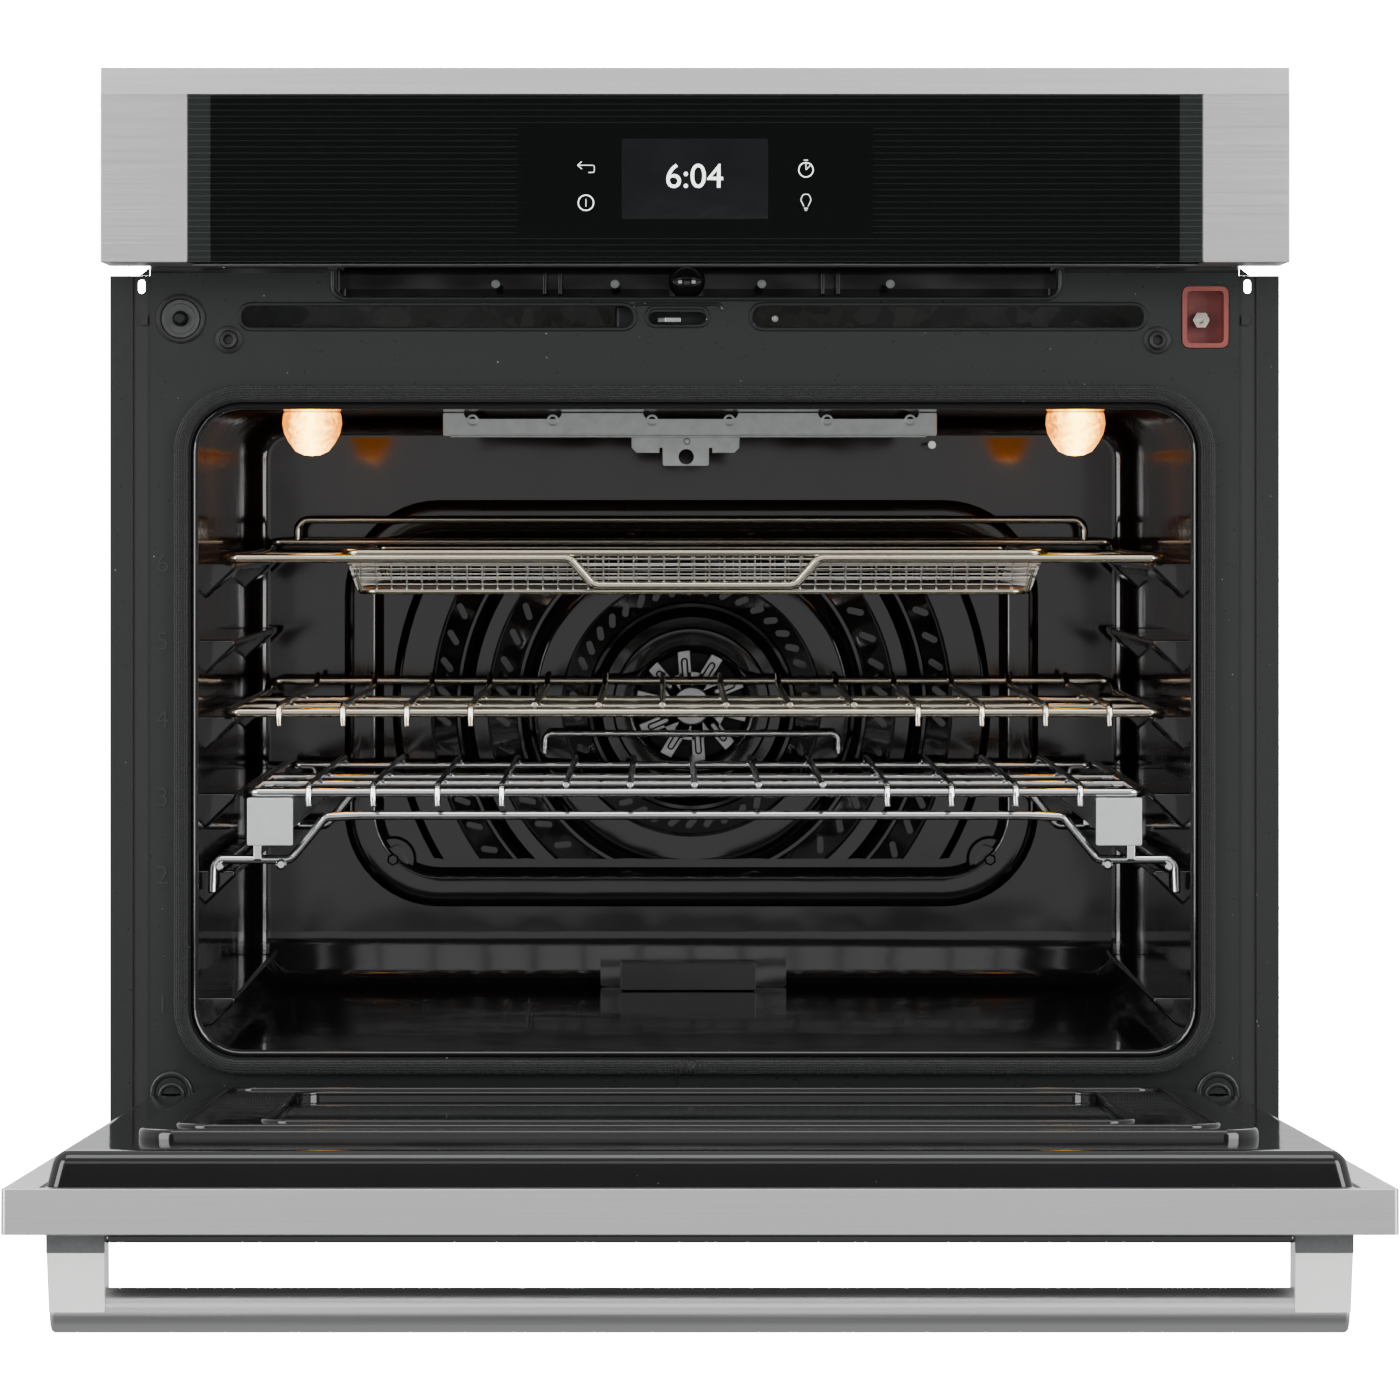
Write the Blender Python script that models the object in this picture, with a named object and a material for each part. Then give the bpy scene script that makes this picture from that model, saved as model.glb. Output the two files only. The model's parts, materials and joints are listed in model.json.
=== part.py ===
"""Built-in electric wall oven with its door open, as separate pieces.

Frame: X to the right seen from the front, -Y towards the user, +Z up.
The cabinet face is the plane y = 0 and the underside of the base is z = 0.
Shapes are written in millimetres and scaled to metres when they become objects.
"""
import bpy
import bmesh
from math import cos, pi, radians, sin
from mathutils import Matrix, Vector

MM = 0.001
GAP = 0.3

# Overall sizes
OVERALL_HALF = 381.0
OVERALL_TOP = 737.0
BODY_HALF = 355.0
BODY_REAR = 565.0
BODY_TOP = 712.0
SHEET = 1.2
SCREW_X = 360.4
SCREW_LEVELS = (60.0, 599.0)

# Front frame and oven opening
FRAME_FACE = -3.0
FRAME_BOTTOM = 44.0
FRAME_TOP = 611.5
OPENING_HALF = 323.5
OPENING_BOTTOM = 101.5
OPENING_TOP = 519.0
OPENING_MID = (OPENING_BOTTOM + OPENING_TOP) / 2
OPENING_RADIUS = 28.0
CAVITY_DEPTH = 464.0
GASKET_INNER = 5.8
GASKET_OUTER = 15.5
GASKET_FACE = -12.6

# Rack supports: one low level, then five at a two-inch pitch
LEVEL_PITCH = 50.8
LEVELS = [131.0] + [215.0 + LEVEL_PITCH * i for i in range(5)]
LEDGE_REACH = 20.0
WIRE = 3.0
RACK_FRONT = 33.0
RACK_REAR = 420.0
RACK_HALF = 308.0
MEMBER_TOP = 262.0

# Control panel
PANEL_FACE = -62.5
PANEL_BOTTOM = 612.0
GLASS_HALF = 325.2
GLASS_TOP = 719.2

# Door, drawn closed and then turned about its hinge pin
DOOR_OPEN = 87.0
HINGE_Y = -27.0
HINGE_Z = 62.0
DOOR_TOP = 608.0
DOOR_BOTTOM = 42.0
SKIN_FACE = -58.0
SKIN_BACK = -33.0
LINER_FACE = -13.0
PLUG_FACE = -7.0
LINER_HALF = 356.0
HINGE_X = 341.0

# Handle
BAR_Y = -101.2
BAR_Z = 580.0
BAR_RADIUS = 12.4
BAR_HALF = 356.0
POST_INNER = 324.5
POST_OUTER = 359.0

# Rotating parts
FAN_Z = 308.5
ELEMENT_RADIUS = 95.0
ELEMENT_START = -pi / 2 - 0.16
BLOWER_Y = 150.0
BLOWER_Z = 640.0
BLOWER_HALF = 130.0

MATERIALS = {
    "brushed_stainless": ((0.50, 0.50, 0.50), 1.0, 0.32),
    "polished_stainless": ((0.72, 0.72, 0.71), 1.0, 0.15),
    "charcoal_enamel": ((0.045, 0.05, 0.048), 0.0, 0.25),
    "black_enamel": ((0.012, 0.012, 0.013), 0.0, 0.12),
    "galvanised_steel": ((0.42, 0.43, 0.44), 1.0, 0.45),
    "black_glass": ((0.004, 0.004, 0.005), 0.0, 0.05),
    "clear_glass": ((0.55, 0.60, 0.60), 0.0, 0.03),
    "lamp_glass": ((1.0, 0.78, 0.45), 0.0, 0.10),
    "braided_gasket": ((0.05, 0.055, 0.052), 0.0, 0.80),
    "rack_wire": ((0.62, 0.58, 0.50), 1.0, 0.22),
    "chrome_wire": ((0.70, 0.70, 0.70), 1.0, 0.12),
    "zinc_steel": ((0.46, 0.47, 0.46), 1.0, 0.42),
    "heating_element": ((0.06, 0.055, 0.05), 0.4, 0.60),
    "mineral_wool": ((0.62, 0.55, 0.30), 0.0, 0.95),
    "circuit_board": ((0.02, 0.16, 0.06), 0.0, 0.45),
    "red_silicone": ((0.20, 0.035, 0.03), 0.0, 0.45),
    "nickel_plate": ((0.75, 0.70, 0.60), 1.0, 0.20),
    "motor_steel": ((0.25, 0.25, 0.26), 0.9, 0.50),
    "black_plastic": ((0.02, 0.02, 0.02), 0.0, 0.50),
    "fan_steel": ((0.40, 0.40, 0.41), 1.0, 0.40),
}


# ---------------------------------------------------------------- helpers

def clear_scene():
    for obj in list(bpy.data.objects):
        bpy.data.objects.remove(obj, do_unlink=True)


def principled(slot):
    colour, metallic, roughness = MATERIALS[slot]
    material = bpy.data.materials.get(slot) or bpy.data.materials.new(slot)
    material.use_nodes = True
    shader = material.node_tree.nodes["Principled BSDF"]
    shader.inputs["Base Color"].default_value = (*colour, 1.0)
    shader.inputs["Metallic"].default_value = metallic
    shader.inputs["Roughness"].default_value = roughness
    return material


def merged(*shapes):
    """One bmesh holding several shapes; the parts stay separate bodies."""
    result = bmesh.new()
    for shape in shapes:
        mesh = bpy.data.meshes.new("merge")
        shape.to_mesh(mesh)
        result.from_mesh(mesh)
        bpy.data.meshes.remove(mesh)
        shape.free()
    return result


def box(x, y, z):
    """A block between low and high values on each axis."""
    shape = bmesh.new()
    bmesh.ops.create_cube(shape, size=1.0)
    spans = (x, y, z)
    scale = [high - low for low, high in spans]
    centre = [(high + low) / 2 for low, high in spans]
    bmesh.ops.scale(shape, verts=shape.verts, vec=scale)
    bmesh.ops.translate(shape, verts=shape.verts, vec=centre)
    return shape


def mirrored_boxes(x, y, z):
    """The same block on the right and on the left."""
    return merged(box(x, y, z), box((-x[1], -x[0]), y, z))


def placed(axis, u, v, t):
    """A point from outline coordinates u, v and the distance t along the axis."""
    return {"x": (t, u, v), "y": (u, t, v), "z": (u, v, t)}[axis]


def prism(outline, span, axis="y"):
    """A closed outline pushed along one axis."""
    shape = bmesh.new()
    corners = [shape.verts.new(placed(axis, u, v, span[0])) for u, v in outline]
    face = shape.faces.new(corners)
    pushed = bmesh.ops.extrude_face_region(shape, geom=[face])
    moved = [item for item in pushed["geom"] if isinstance(item, bmesh.types.BMVert)]
    bmesh.ops.translate(shape, verts=moved, vec=placed(axis, 0, 0, span[1] - span[0]))
    return shape


def rounded(half_u, half_v, radius, centre=(0.0, 0.0), steps=4):
    """Outline of a rectangle with round corners."""
    points = []
    for quarter in range(4):
        side_u = (1, -1, -1, 1)[quarter]
        side_v = (1, 1, -1, -1)[quarter]
        middle_u = centre[0] + side_u * (half_u - radius)
        middle_v = centre[1] + side_v * (half_v - radius)
        for step in range(steps + 1):
            angle = pi / 2 * (quarter + step / steps)
            points.append((middle_u + radius * cos(angle), middle_v + radius * sin(angle)))
    return points


def circle(radius, centre=(0.0, 0.0), sides=24):
    return [(centre[0] + radius * cos(2 * pi * i / sides),
             centre[1] + radius * sin(2 * pi * i / sides)) for i in range(sides)]


def ring(outer, inner, span, axis="y"):
    """A flat ring between two outlines of the same number of points."""
    shape = bmesh.new()
    edges = []
    for outline in (outer, inner):
        loop = [shape.verts.new(placed(axis, u, v, span[0])) for u, v in outline]
        edges += [shape.edges.new((loop[i - 1], loop[i])) for i in range(len(loop))]
    faces = bmesh.ops.bridge_loops(shape, edges=edges)["faces"]
    pushed = bmesh.ops.extrude_face_region(shape, geom=faces)
    moved = [item for item in pushed["geom"] if isinstance(item, bmesh.types.BMVert)]
    bmesh.ops.translate(shape, verts=moved, vec=placed(axis, 0, 0, span[1] - span[0]))
    return shape


def sheet(profile, span, axis="y"):
    """An open profile pushed along one axis; Solidify gives it its thickness."""
    shape = bmesh.new()
    rows = [[shape.verts.new(placed(axis, u, v, t)) for u, v in profile] for t in span]
    for i in range(len(profile) - 1):
        shape.faces.new((rows[0][i], rows[0][i + 1], rows[1][i + 1], rows[1][i]))
    return shape


def turned(profile, centre, axis="y", sides=24):
    """A solid of revolution; the profile's (radius, distance) ends lie on the axis."""
    shape = bmesh.new()
    directions = {"x": (1, 0, 0), "y": (0, 1, 0), "z": (0, 0, 1)}
    start = {"x": (0, 1, 0), "y": (1, 0, 0), "z": (1, 0, 0)}[axis]
    along = Vector(directions[axis])
    out = Vector(start)
    verts = [shape.verts.new(out * r + along * t) for r, t in profile]
    edges = [shape.edges.new(pair) for pair in zip(verts, verts[1:])]
    bmesh.ops.spin(shape, geom=verts + edges, cent=(0, 0, 0), axis=along,
                   angle=2 * pi, steps=sides, use_merge=True)
    bmesh.ops.remove_doubles(shape, verts=shape.verts, dist=1e-4)
    bmesh.ops.translate(shape, verts=shape.verts, vec=centre)
    return shape


def wire(points, radius=WIRE, sides=6, closed=False):
    """Round wire along a path: one ring of vertices to each point."""
    path = [Vector(point) for point in points]
    count = len(path)
    shape = bmesh.new()
    rings = []
    side = None
    for i, point in enumerate(path):
        before = path[i - 1] if closed or i else point
        after = path[(i + 1) % count] if closed or i < count - 1 else point
        arriving = (point - before).normalized() if point != before else None
        leaving = (after - point).normalized() if after != point else None
        tangent = ((arriving or leaving) + (leaving or arriving)).normalized()
        if side is None:
            side = tangent.orthogonal().normalized()
        side = (side - tangent * side.dot(tangent)).normalized()
        across = tangent.cross(side)
        rings.append([shape.verts.new(point + radius * (side * cos(a) + across * sin(a)))
                      for a in (2 * pi * k / sides for k in range(sides))])
    last = count if closed else count - 1
    for i in range(last):
        first, second = rings[i], rings[(i + 1) % count]
        twist = closest_twist(first, second) if i == count - 1 else 0
        for k in range(sides):
            shape.faces.new((first[k], first[(k + 1) % sides],
                             second[(k + 1 + twist) % sides], second[(k + twist) % sides]))
    if not closed:
        shape.faces.new(rings[0])
        shape.faces.new(rings[-1])
    return shape


def closest_twist(first, second):
    """How far the second ring is turned against the first, in whole sides."""
    sides = len(first)
    return min(range(sides),
               key=lambda twist: sum((first[k].co - second[(k + twist) % sides].co).length
                                     for k in range(sides)))


def bend(corner, before, after, radius, steps=3):
    """Points that round one corner of a wire."""
    corner, before, after = Vector(corner), Vector(before), Vector(after)
    start = corner + (before - corner).normalized() * radius
    end = corner + (after - corner).normalized() * radius
    points = []
    for step in range(steps + 1):
        t = step / steps
        points.append(start * (1 - t) ** 2 + corner * 2 * t * (1 - t) + end * t ** 2)
    return points


def rounded_path(corners, radius, closed=False, steps=3):
    """A wire route with every inner corner rounded."""
    count = len(corners)
    points = []
    for i, corner in enumerate(corners):
        if not closed and i in (0, count - 1):
            points.append(Vector(corner))
        else:
            points += bend(corner, corners[i - 1], corners[(i + 1) % count], radius, steps)
    return points


class Group:
    """The empty on a joint's axis that carries a moving body."""

    def __init__(self, name, pivot, turn=None):
        self.pivot = Vector(pivot)
        self.empty = bpy.data.objects.new(name, None)
        self.empty.location = self.pivot * MM
        if turn:
            self.empty.rotation_euler = turn
        bpy.context.scene.collection.objects.link(self.empty)


def to_object(name, shape, group):
    """A bmesh in millimetres becomes an object in metres."""
    if group:
        bmesh.ops.translate(shape, verts=shape.verts, vec=-group.pivot)
    bmesh.ops.scale(shape, verts=shape.verts, vec=(MM, MM, MM))
    bmesh.ops.recalc_face_normals(shape, faces=shape.faces)
    mesh = bpy.data.meshes.new(name)
    shape.to_mesh(mesh)
    shape.free()
    obj = bpy.data.objects.new(name, mesh)
    bpy.context.scene.collection.objects.link(obj)
    if group:
        obj.parent = group.empty
    return obj


def united(first, *others):
    """Overlapping shapes joined into one body, to cut with or to build on."""
    base = to_object("united", first, None)
    tools = [to_object("united_tool", other, None) for other in others]
    for tool in tools:
        boolean = base.modifiers.new("Union", "BOOLEAN")
        boolean.operation = "UNION"
        boolean.solver = "EXACT"
        boolean.object = tool
    evaluated = base.evaluated_get(bpy.context.evaluated_depsgraph_get())
    result = bmesh.new()
    result.from_mesh(evaluated.to_mesh())
    evaluated.to_mesh_clear()
    bmesh.ops.scale(result, verts=result.verts, vec=(1 / MM, 1 / MM, 1 / MM))
    for helper in [base, *tools]:
        bpy.data.objects.remove(helper, do_unlink=True)
    return result


def piece(name, shape, material, group=None, cut=None, join=(), thick=0.0):
    """One finished sub-part, with its booleans kept as modifiers."""
    obj = to_object(name, shape, group)
    obj.data.materials.append(principled(material))
    if thick:
        solidify = obj.modifiers.new("Sheet", "SOLIDIFY")
        solidify.thickness = thick * MM
        solidify.offset = 1.0
        solidify.use_even_offset = True
    helpers = [("UNION", shape_b) for shape_b in join]
    if cut:
        helpers.append(("DIFFERENCE", cut))
    for number, (operation, other) in enumerate(helpers):
        tool = to_object(f"{name}_tool_{number}", other, group)
        tool.hide_render = True
        tool.display_type = "WIRE"
        boolean = obj.modifiers.new(operation.title(), "BOOLEAN")
        boolean.operation = operation
        boolean.solver = "EXACT"
        boolean.object = tool
    obj.data.shade_smooth()
    obj.data.set_sharp_from_angle(angle=radians(35))
    return obj


# ---------------------------------------------------------------- carcass

def carcass():
    inside = BODY_HALF - SHEET
    for side, name in ((-1, "left"), (1, "right")):
        x = sorted((side * inside, side * BODY_HALF))
        vents = merged(*[box((x[0] - 1, x[1] + 1), (60 + 60 * i, 100 + 60 * i), (664, 672))
                         for i in range(7)])
        piece(f"side_panel_{name}", box(x, (GAP, BODY_REAR - SHEET - GAP), (3, BODY_TOP)),
              "galvanised_steel", cut=vents)
        strip = [(BODY_HALF + GAP, 0), (OVERALL_HALF, 0), (OVERALL_HALF, FRAME_FACE),
                 (365.5, FRAME_FACE), (365.5, -1), (BODY_HALF + GAP, -1)]
        outline = [(side * x, y) for x, y in strip]
        holes = merged(*[prism(rounded(2.3, 4.5, 2.2, (side * SCREW_X, z)), (-5, 5))
                         for z in SCREW_LEVELS])
        piece(f"flange_{name}", prism(outline, (40, 606), "z"), "charcoal_enamel", cut=holes)
    slots = merged(*[box((-260 + 60 * i, -220 + 60 * i), (BODY_REAR - 5, BODY_REAR + 5),
                         (z, z + 8)) for i in range(9) for z in (630, 660)])
    piece("rear_panel", box((-inside + GAP, inside - GAP), (BODY_REAR - SHEET, BODY_REAR),
                            (3, BODY_TOP)), "galvanised_steel", cut=slots)
    piece("top_cover", box((-BODY_HALF, BODY_HALF), (GAP, BODY_REAR),
                           (BODY_TOP + GAP, BODY_TOP + GAP + SHEET)), "galvanised_steel")
    floor = (-inside + GAP, inside - GAP)
    piece("base_pan", box(floor, (-22, BODY_REAR - SHEET - GAP), (0, 20)), "galvanised_steel",
          cut=box((floor[0] + SHEET, floor[1] - SHEET), (-22 + SHEET, BODY_REAR + 5), (SHEET, 25)))
    piece("terminal_box", box((-250, -140), (440, 520), (BODY_TOP + 2, OVERALL_TOP - 2)),
          "galvanised_steel",
          cut=united(box((-248, -142), (442, 518), (BODY_TOP + 4, OVERALL_TOP - 4)),
                     prism(circle(8, (-195, 725)), (510, 530))))


def hinge_receivers():
    """Channels behind the front frame, with ears that hold the hinge pins."""
    for side, name in ((-1, "left"), (1, "right")):
        middle = side * HINGE_X
        channel = [(middle - 5.5, -37), (middle - 3.5, -37), (middle - 3.5, 88),
                   (middle + 3.5, 88), (middle + 3.5, -37), (middle + 5.5, -37),
                   (middle + 5.5, 90), (middle - 5.5, 90)]
        bore = prism(circle(3.8, (HINGE_Y, HINGE_Z), 12), (middle - 9, middle + 9), "x")
        piece(f"hinge_receiver_{name}", prism(channel, (HINGE_Z - 9, HINGE_Z + 9), "z"),
              "galvanised_steel", cut=bore)


# ---------------------------------------------------------------- front

def front_frame():
    mid_z = (FRAME_BOTTOM + FRAME_TOP) / 2
    half_z = (FRAME_TOP - FRAME_BOTTOM) / 2
    face = prism(rounded(354.6, half_z, 4, (0, mid_z)), (FRAME_FACE, -GAP))
    through = (FRAME_FACE - 5, 5)
    height = (OPENING_TOP - OPENING_BOTTOM) / 2
    cuts = [rounded(OPENING_HALF, height, OPENING_RADIUS, (0, OPENING_MID), 5),
            rounded(128.1, 7.2, 7, (-167.6, 579.3)),
            rounded(127.8, 7.2, 7, (165.2, 579.3)),
            rounded(19.2, 5.2, 5, (-11.2, 577.3)),
            rounded(235, 20, 9, (2, FRAME_TOP)),
            circle(16.3, (-334.8, 578)),
            rounded(15.4, 20.4, 5, (332.7, 579))]
    shapes = [prism(outline, through) for outline in cuts]
    shapes += [box((s * HINGE_X - 7.5, s * HINGE_X + 7.5), through, (HINGE_Z - 11, HINGE_Z + 11))
               for s in (-1, 1)]
    piece("front_frame", face, "charcoal_enamel", cut=merged(*shapes))
    outer, inner = (rounded(OPENING_HALF + grow, height + grow, OPENING_RADIUS + grow,
                            (0, OPENING_MID), 6) for grow in (GASKET_OUTER, GASKET_INNER))
    piece("door_gasket", ring(outer, inner, (GASKET_FACE, FRAME_FACE - GAP)), "braided_gasket")


def front_fittings():
    """Door switch, probe socket, latch and the air trough."""
    centre = (-334.8, 578)
    bezel = ring(circle(16, centre), circle(4.6, centre), (-4.5, 16))
    piece("switch_bezel", bezel, "black_plastic")
    switch = Group("switch_axis", (centre[0], 0, centre[1]))
    piece("switch_plunger", turned([(0, -11), (3, -11), (4.2, -9.5), (4.2, 14), (0, 14)],
                                   (centre[0], 0, centre[1]), sides=16),
          "motor_steel", switch)
    socket_mid = (332.7, 579)
    cup = prism(rounded(15, 20, 4.5, socket_mid), (-4.5, 16))
    piece("probe_housing", cup, "red_silicone",
          cut=united(prism(rounded(12, 17, 3, socket_mid), (-6, 13)),
                     prism(circle(3.9, (330.8, 577.3)), (10, 20))))
    jack = prism(circle(5.6, (330.8, 577.3), 6), (4, 12.7))
    shank = prism(circle(3.6, (330.8, 577.3)), (10, 24))
    piece("probe_jack", jack, "nickel_plate", join=[shank],
          cut=prism(circle(2.3, (330.8, 577.3), 12), (0, 20)))
    trough = box((-233, 237), (0, 60), (590, 611.2))
    piece("vent_duct", trough, "galvanised_steel",
          cut=box((-231.5, 235.5), (-2, 58), (591.5, 613)))
    piece("latch_motor", box((-52, 30), (9, 62), (548, 588)), "motor_steel")
    latch = Group("latch_axis", (-22, 0, 577))
    hook = [(-24, 8.5), (-24, -6), (-19, -11), (-9, -11), (-9, -8.5), (-17, -8.5),
            (-19, -5.5), (-19, 8.5)]
    piece("latch_bolt", prism(hook, (575.5, 578.5), "z"), "zinc_steel", latch)


def control_panel():
    z = (PANEL_BOTTOM, OVERALL_TOP)
    hollow = box((-OVERALL_HALF + SHEET, OVERALL_HALF - SHEET), (PANEL_FACE + SHEET, 0),
                 (PANEL_BOTTOM + SHEET, OVERALL_TOP - SHEET))
    window = box((-GLASS_HALF - GAP, GLASS_HALF + GAP), (PANEL_FACE - 5, -20),
                 (PANEL_BOTTOM - 5, GLASS_TOP + GAP))
    piece("panel_frame", box((-OVERALL_HALF, OVERALL_HALF), (PANEL_FACE, -5), z),
          "brushed_stainless", cut=united(hollow, window))
    piece("panel_glass", box((-GLASS_HALF, GLASS_HALF), (PANEL_FACE + 0.2, -58),
                             (PANEL_BOTTOM + GAP, GLASS_TOP)), "black_glass")
    inner = OVERALL_HALF - SHEET - GAP
    piece("panel_bracket", box((-inner, inner), (-8, -6.8), (615, 734)), "galvanised_steel",
          cut=box((-120, 120), (-12, -2), (640, 700)))
    piece("control_board", box((-160, 160), (-50, -34), (632, 712)), "circuit_board")


# ---------------------------------------------------------------- cavity

def cavity_side(side, name):
    """A side wall with six rack ledges pressed inwards."""
    wall = box(sorted((side * OPENING_HALF, side * (OPENING_HALF + 1.5))),
               (0, CAVITY_DEPTH - GAP), (OPENING_BOTTOM + OPENING_RADIUS,
                                         OPENING_TOP - OPENING_RADIUS))
    ledges = []
    tip = side * (OPENING_HALF - LEDGE_REACH)
    root = side * (OPENING_HALF + 0.7)
    for level in LEVELS:
        low = max(level - 9, OPENING_BOTTOM + OPENING_RADIUS + 0.2)
        ledges.append(prism([(root, level), (tip, level), (tip, level - 3), (root, low - 0.1)],
                            (50, 428)))
    piece(f"cavity_wall_{name}", wall, "black_enamel", join=[merged(*ledges)])


def cavity():
    cavity_side(-1, "left")
    cavity_side(1, "right")
    for name, edge, sign in (("cavity_floor", OPENING_BOTTOM, 1),
                             ("cavity_ceiling", OPENING_TOP, -1)):
        outline = cavity_channel(edge, sign)
        holes = None
        if sign < 0:
            holes = merged(*[prism(circle(14, (x, 100)), (500, 530), "z") for x in (-256, 256)])
        piece(name, prism(outline, (0, CAVITY_DEPTH - GAP)), "black_enamel", cut=holes)
    back = prism(rounded(OPENING_HALF + 1.5, (OPENING_TOP - OPENING_BOTTOM) / 2 + 1.5,
                         OPENING_RADIUS, (0, OPENING_MID)), (CAVITY_DEPTH, CAVITY_DEPTH + 1.5))
    piece("cavity_back", back, "black_enamel",
          cut=merged(prism(circle(7, (0, FAN_Z)), (450, 480)),
                     *[prism(circle(4.5, point, 10), (450, 480)) for point in terminal_points()]))
    wrap = [(-350, 60), (-350, 545), (350, 545), (350, 60), (326.5, 60), (326.5, 522),
            (-326.5, 522), (-326.5, 60)]
    piece("insulation_jacket", prism(wrap, (125, 455)), "mineral_wool")


def cavity_channel(edge, sign):
    """Floor or ceiling with the rounded corners that meet the side walls."""
    points = []
    for radius, order in ((OPENING_RADIUS, 1), (OPENING_RADIUS + 1.5, -1)):
        arc = []
        for side in (-1, 1):
            steps = range(6) if side < 0 else range(5, -1, -1)
            for step in steps:
                angle = pi / 2 * step / 5
                x = side * (OPENING_HALF - OPENING_RADIUS + radius * cos(angle))
                z = edge + sign * (OPENING_RADIUS - GAP - radius * sin(angle))
                arc.append((x, z))
        points += arc[::order]
    return points


def terminal_points():
    """Where the element tails and the sensor pass through the back wall."""
    broil = [(-150, 511), (150, 511)]
    convection = [(side * ELEMENT_RADIUS * cos(ELEMENT_START),
                   FAN_Z + ELEMENT_RADIUS * sin(ELEMENT_START)) for side in (-1, 1)]
    sensor = [(175, 500)]
    return broil + convection + sensor


def elements():
    z = 511
    runs = [(-150, 500), (-150, 150), (-50, 150), (-50, 420), (50, 420), (50, 150), (150, 150),
            (150, 500)]
    piece("broil_element", wire(rounded_path([(x, y, z) for x, y in runs], 22, steps=4), 3.2),
          "heating_element")
    bake = [(-220, 500), (-220, 60), (-75, 60), (-75, 400), (75, 400), (75, 60), (220, 60),
            (220, 500)]
    piece("bake_element", wire(rounded_path([(x, y, 90) for x, y in bake], 25, steps=4), 3.2),
          "heating_element")
    ring_points = []
    for step in range(25):
        angle = ELEMENT_START - (2 * pi + 2 * (pi / 2 + ELEMENT_START)) * step / 24
        ring_points.append((ELEMENT_RADIUS * cos(angle), 446,
                            FAN_Z + ELEMENT_RADIUS * sin(angle)))
    (left, _, z_left), (right, _, z_right) = ring_points[0], ring_points[-1]
    loop = [(left, 500, z_left), *ring_points, (right, 500, z_right)]
    piece("convection_element", wire(loop, 3.2), "heating_element")
    piece("temperature_sensor", wire([(175, 405, 500), (175, 478, 500)], 3.0, 8),
          "polished_stainless")


def fan_cover():
    """Dished cover over the convection fan, open at its centre."""
    mid_z = 310.4
    shell = prism(rounded(255, 149.5, 70, (0, mid_z), 6), (432, CAVITY_DEPTH - GAP))
    hollow = prism(rounded(252, 146.5, 67, (0, mid_z), 6), (433.5, CAVITY_DEPTH + 4))
    hole = prism(circle(40, (0, FAN_Z), 32), (420, 433.6))
    piece("fan_cover", shell, "black_enamel", cut=united(hollow, hole))
    motor = turned([(0, 470), (38, 470), (42, 476), (42, 530), (30, 540), (0, 540)],
                   (0, 0, FAN_Z))
    piece("convection_motor", motor, "motor_steel",
          cut=prism(circle(4.6, (0, FAN_Z), 16), (460, 520)))


def convection_fan():
    """Flat blades on a disc, with the hub and motor shaft."""
    axis = Group("convection_fan_axis", (0, 0, FAN_Z))
    disc = turned([(0, 453), (70, 453), (70, 454.5), (4, 454.5), (4, 516), (0, 516)],
                  (0, 0, FAN_Z))
    hub = turned([(0, 438), (9, 438), (9, 453.6), (0, 453.6)], (0, 0, FAN_Z), sides=12)
    blades = []
    for i in range(10):
        blade = box((16, 68), (440, 453.8), (-0.8, 0.8))
        bmesh.ops.rotate(blade, verts=blade.verts, cent=(0, 0, 0),
                         matrix=Matrix.Rotation(2 * pi * i / 10, 3, "Y"))
        bmesh.ops.translate(blade, verts=blade.verts, vec=(0, 0, FAN_Z))
        blades.append(blade)
    piece("convection_fan", disc, "fan_steel", axis, join=[merged(hub, *blades)])


def broil_shield():
    lip = box((-169, 164), (119, 130), (502, 503.5))
    bracket = [(-42, 502.5), (-42, 491.5), (-21, 491.5), (-21, 483), (10, 483), (10, 491.5),
               (31, 491.5), (31, 502.5)]
    piece("broil_shield", box((-169, 164), (118, 120), (502, OPENING_TOP - GAP)), "zinc_steel",
          join=[lip, prism(bracket, (118.2, 119.8))], cut=prism(circle(5.2, (-5, 489)), (110, 125)))


def lamps():
    for side, name in ((-1, "left"), (1, "right")):
        profile = [(0, -29), (9, -28), (16, -23), (20, -14), (20, -3), (22, -0.5), (22, -GAP),
                   (13, -GAP), (13, 18), (0, 18)]
        piece(f"lamp_{name}", turned(profile, (side * 256, 100, OPENING_TOP), "z", 20),
              "lamp_glass")


# ---------------------------------------------------------------- cooling blower

def cooling_blower():
    arc = [(BLOWER_Y + 46 * cos(a), BLOWER_Z + 46 * sin(a))
           for a in (radians(-20 + 25 * i) for i in range(11))]
    profile = [(BLOWER_Y + 46, BLOWER_Z - 38)] + arc + [(60, BLOWER_Z - 34)]
    scroll = sheet(profile, (-BLOWER_HALF, BLOWER_HALF), "x")
    piece("blower_housing", scroll, "galvanised_steel", thick=SHEET)
    star = []
    for i in range(24):
        radius = 34 if i % 2 else 24
        star.append((BLOWER_Y + radius * cos(pi * i / 12), BLOWER_Z + radius * sin(pi * i / 12)))
    axis = Group("blower_axis", (0, BLOWER_Y, BLOWER_Z))
    shaft = prism(circle(4, (BLOWER_Y, BLOWER_Z), 12), (100, 175), "x")
    piece("blower_wheel", prism(star, (-120, 120), "x"), "fan_steel", axis, join=[shaft])
    motor = turned([(0, 150), (30, 150), (34, 155), (34, 200), (0, 200)],
                   (0, BLOWER_Y, BLOWER_Z), "x", 20)
    piece("blower_motor", motor, "motor_steel",
          cut=prism(circle(4.6, (BLOWER_Y, BLOWER_Z), 16), (140, 180), "x"))


# ---------------------------------------------------------------- racks

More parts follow.
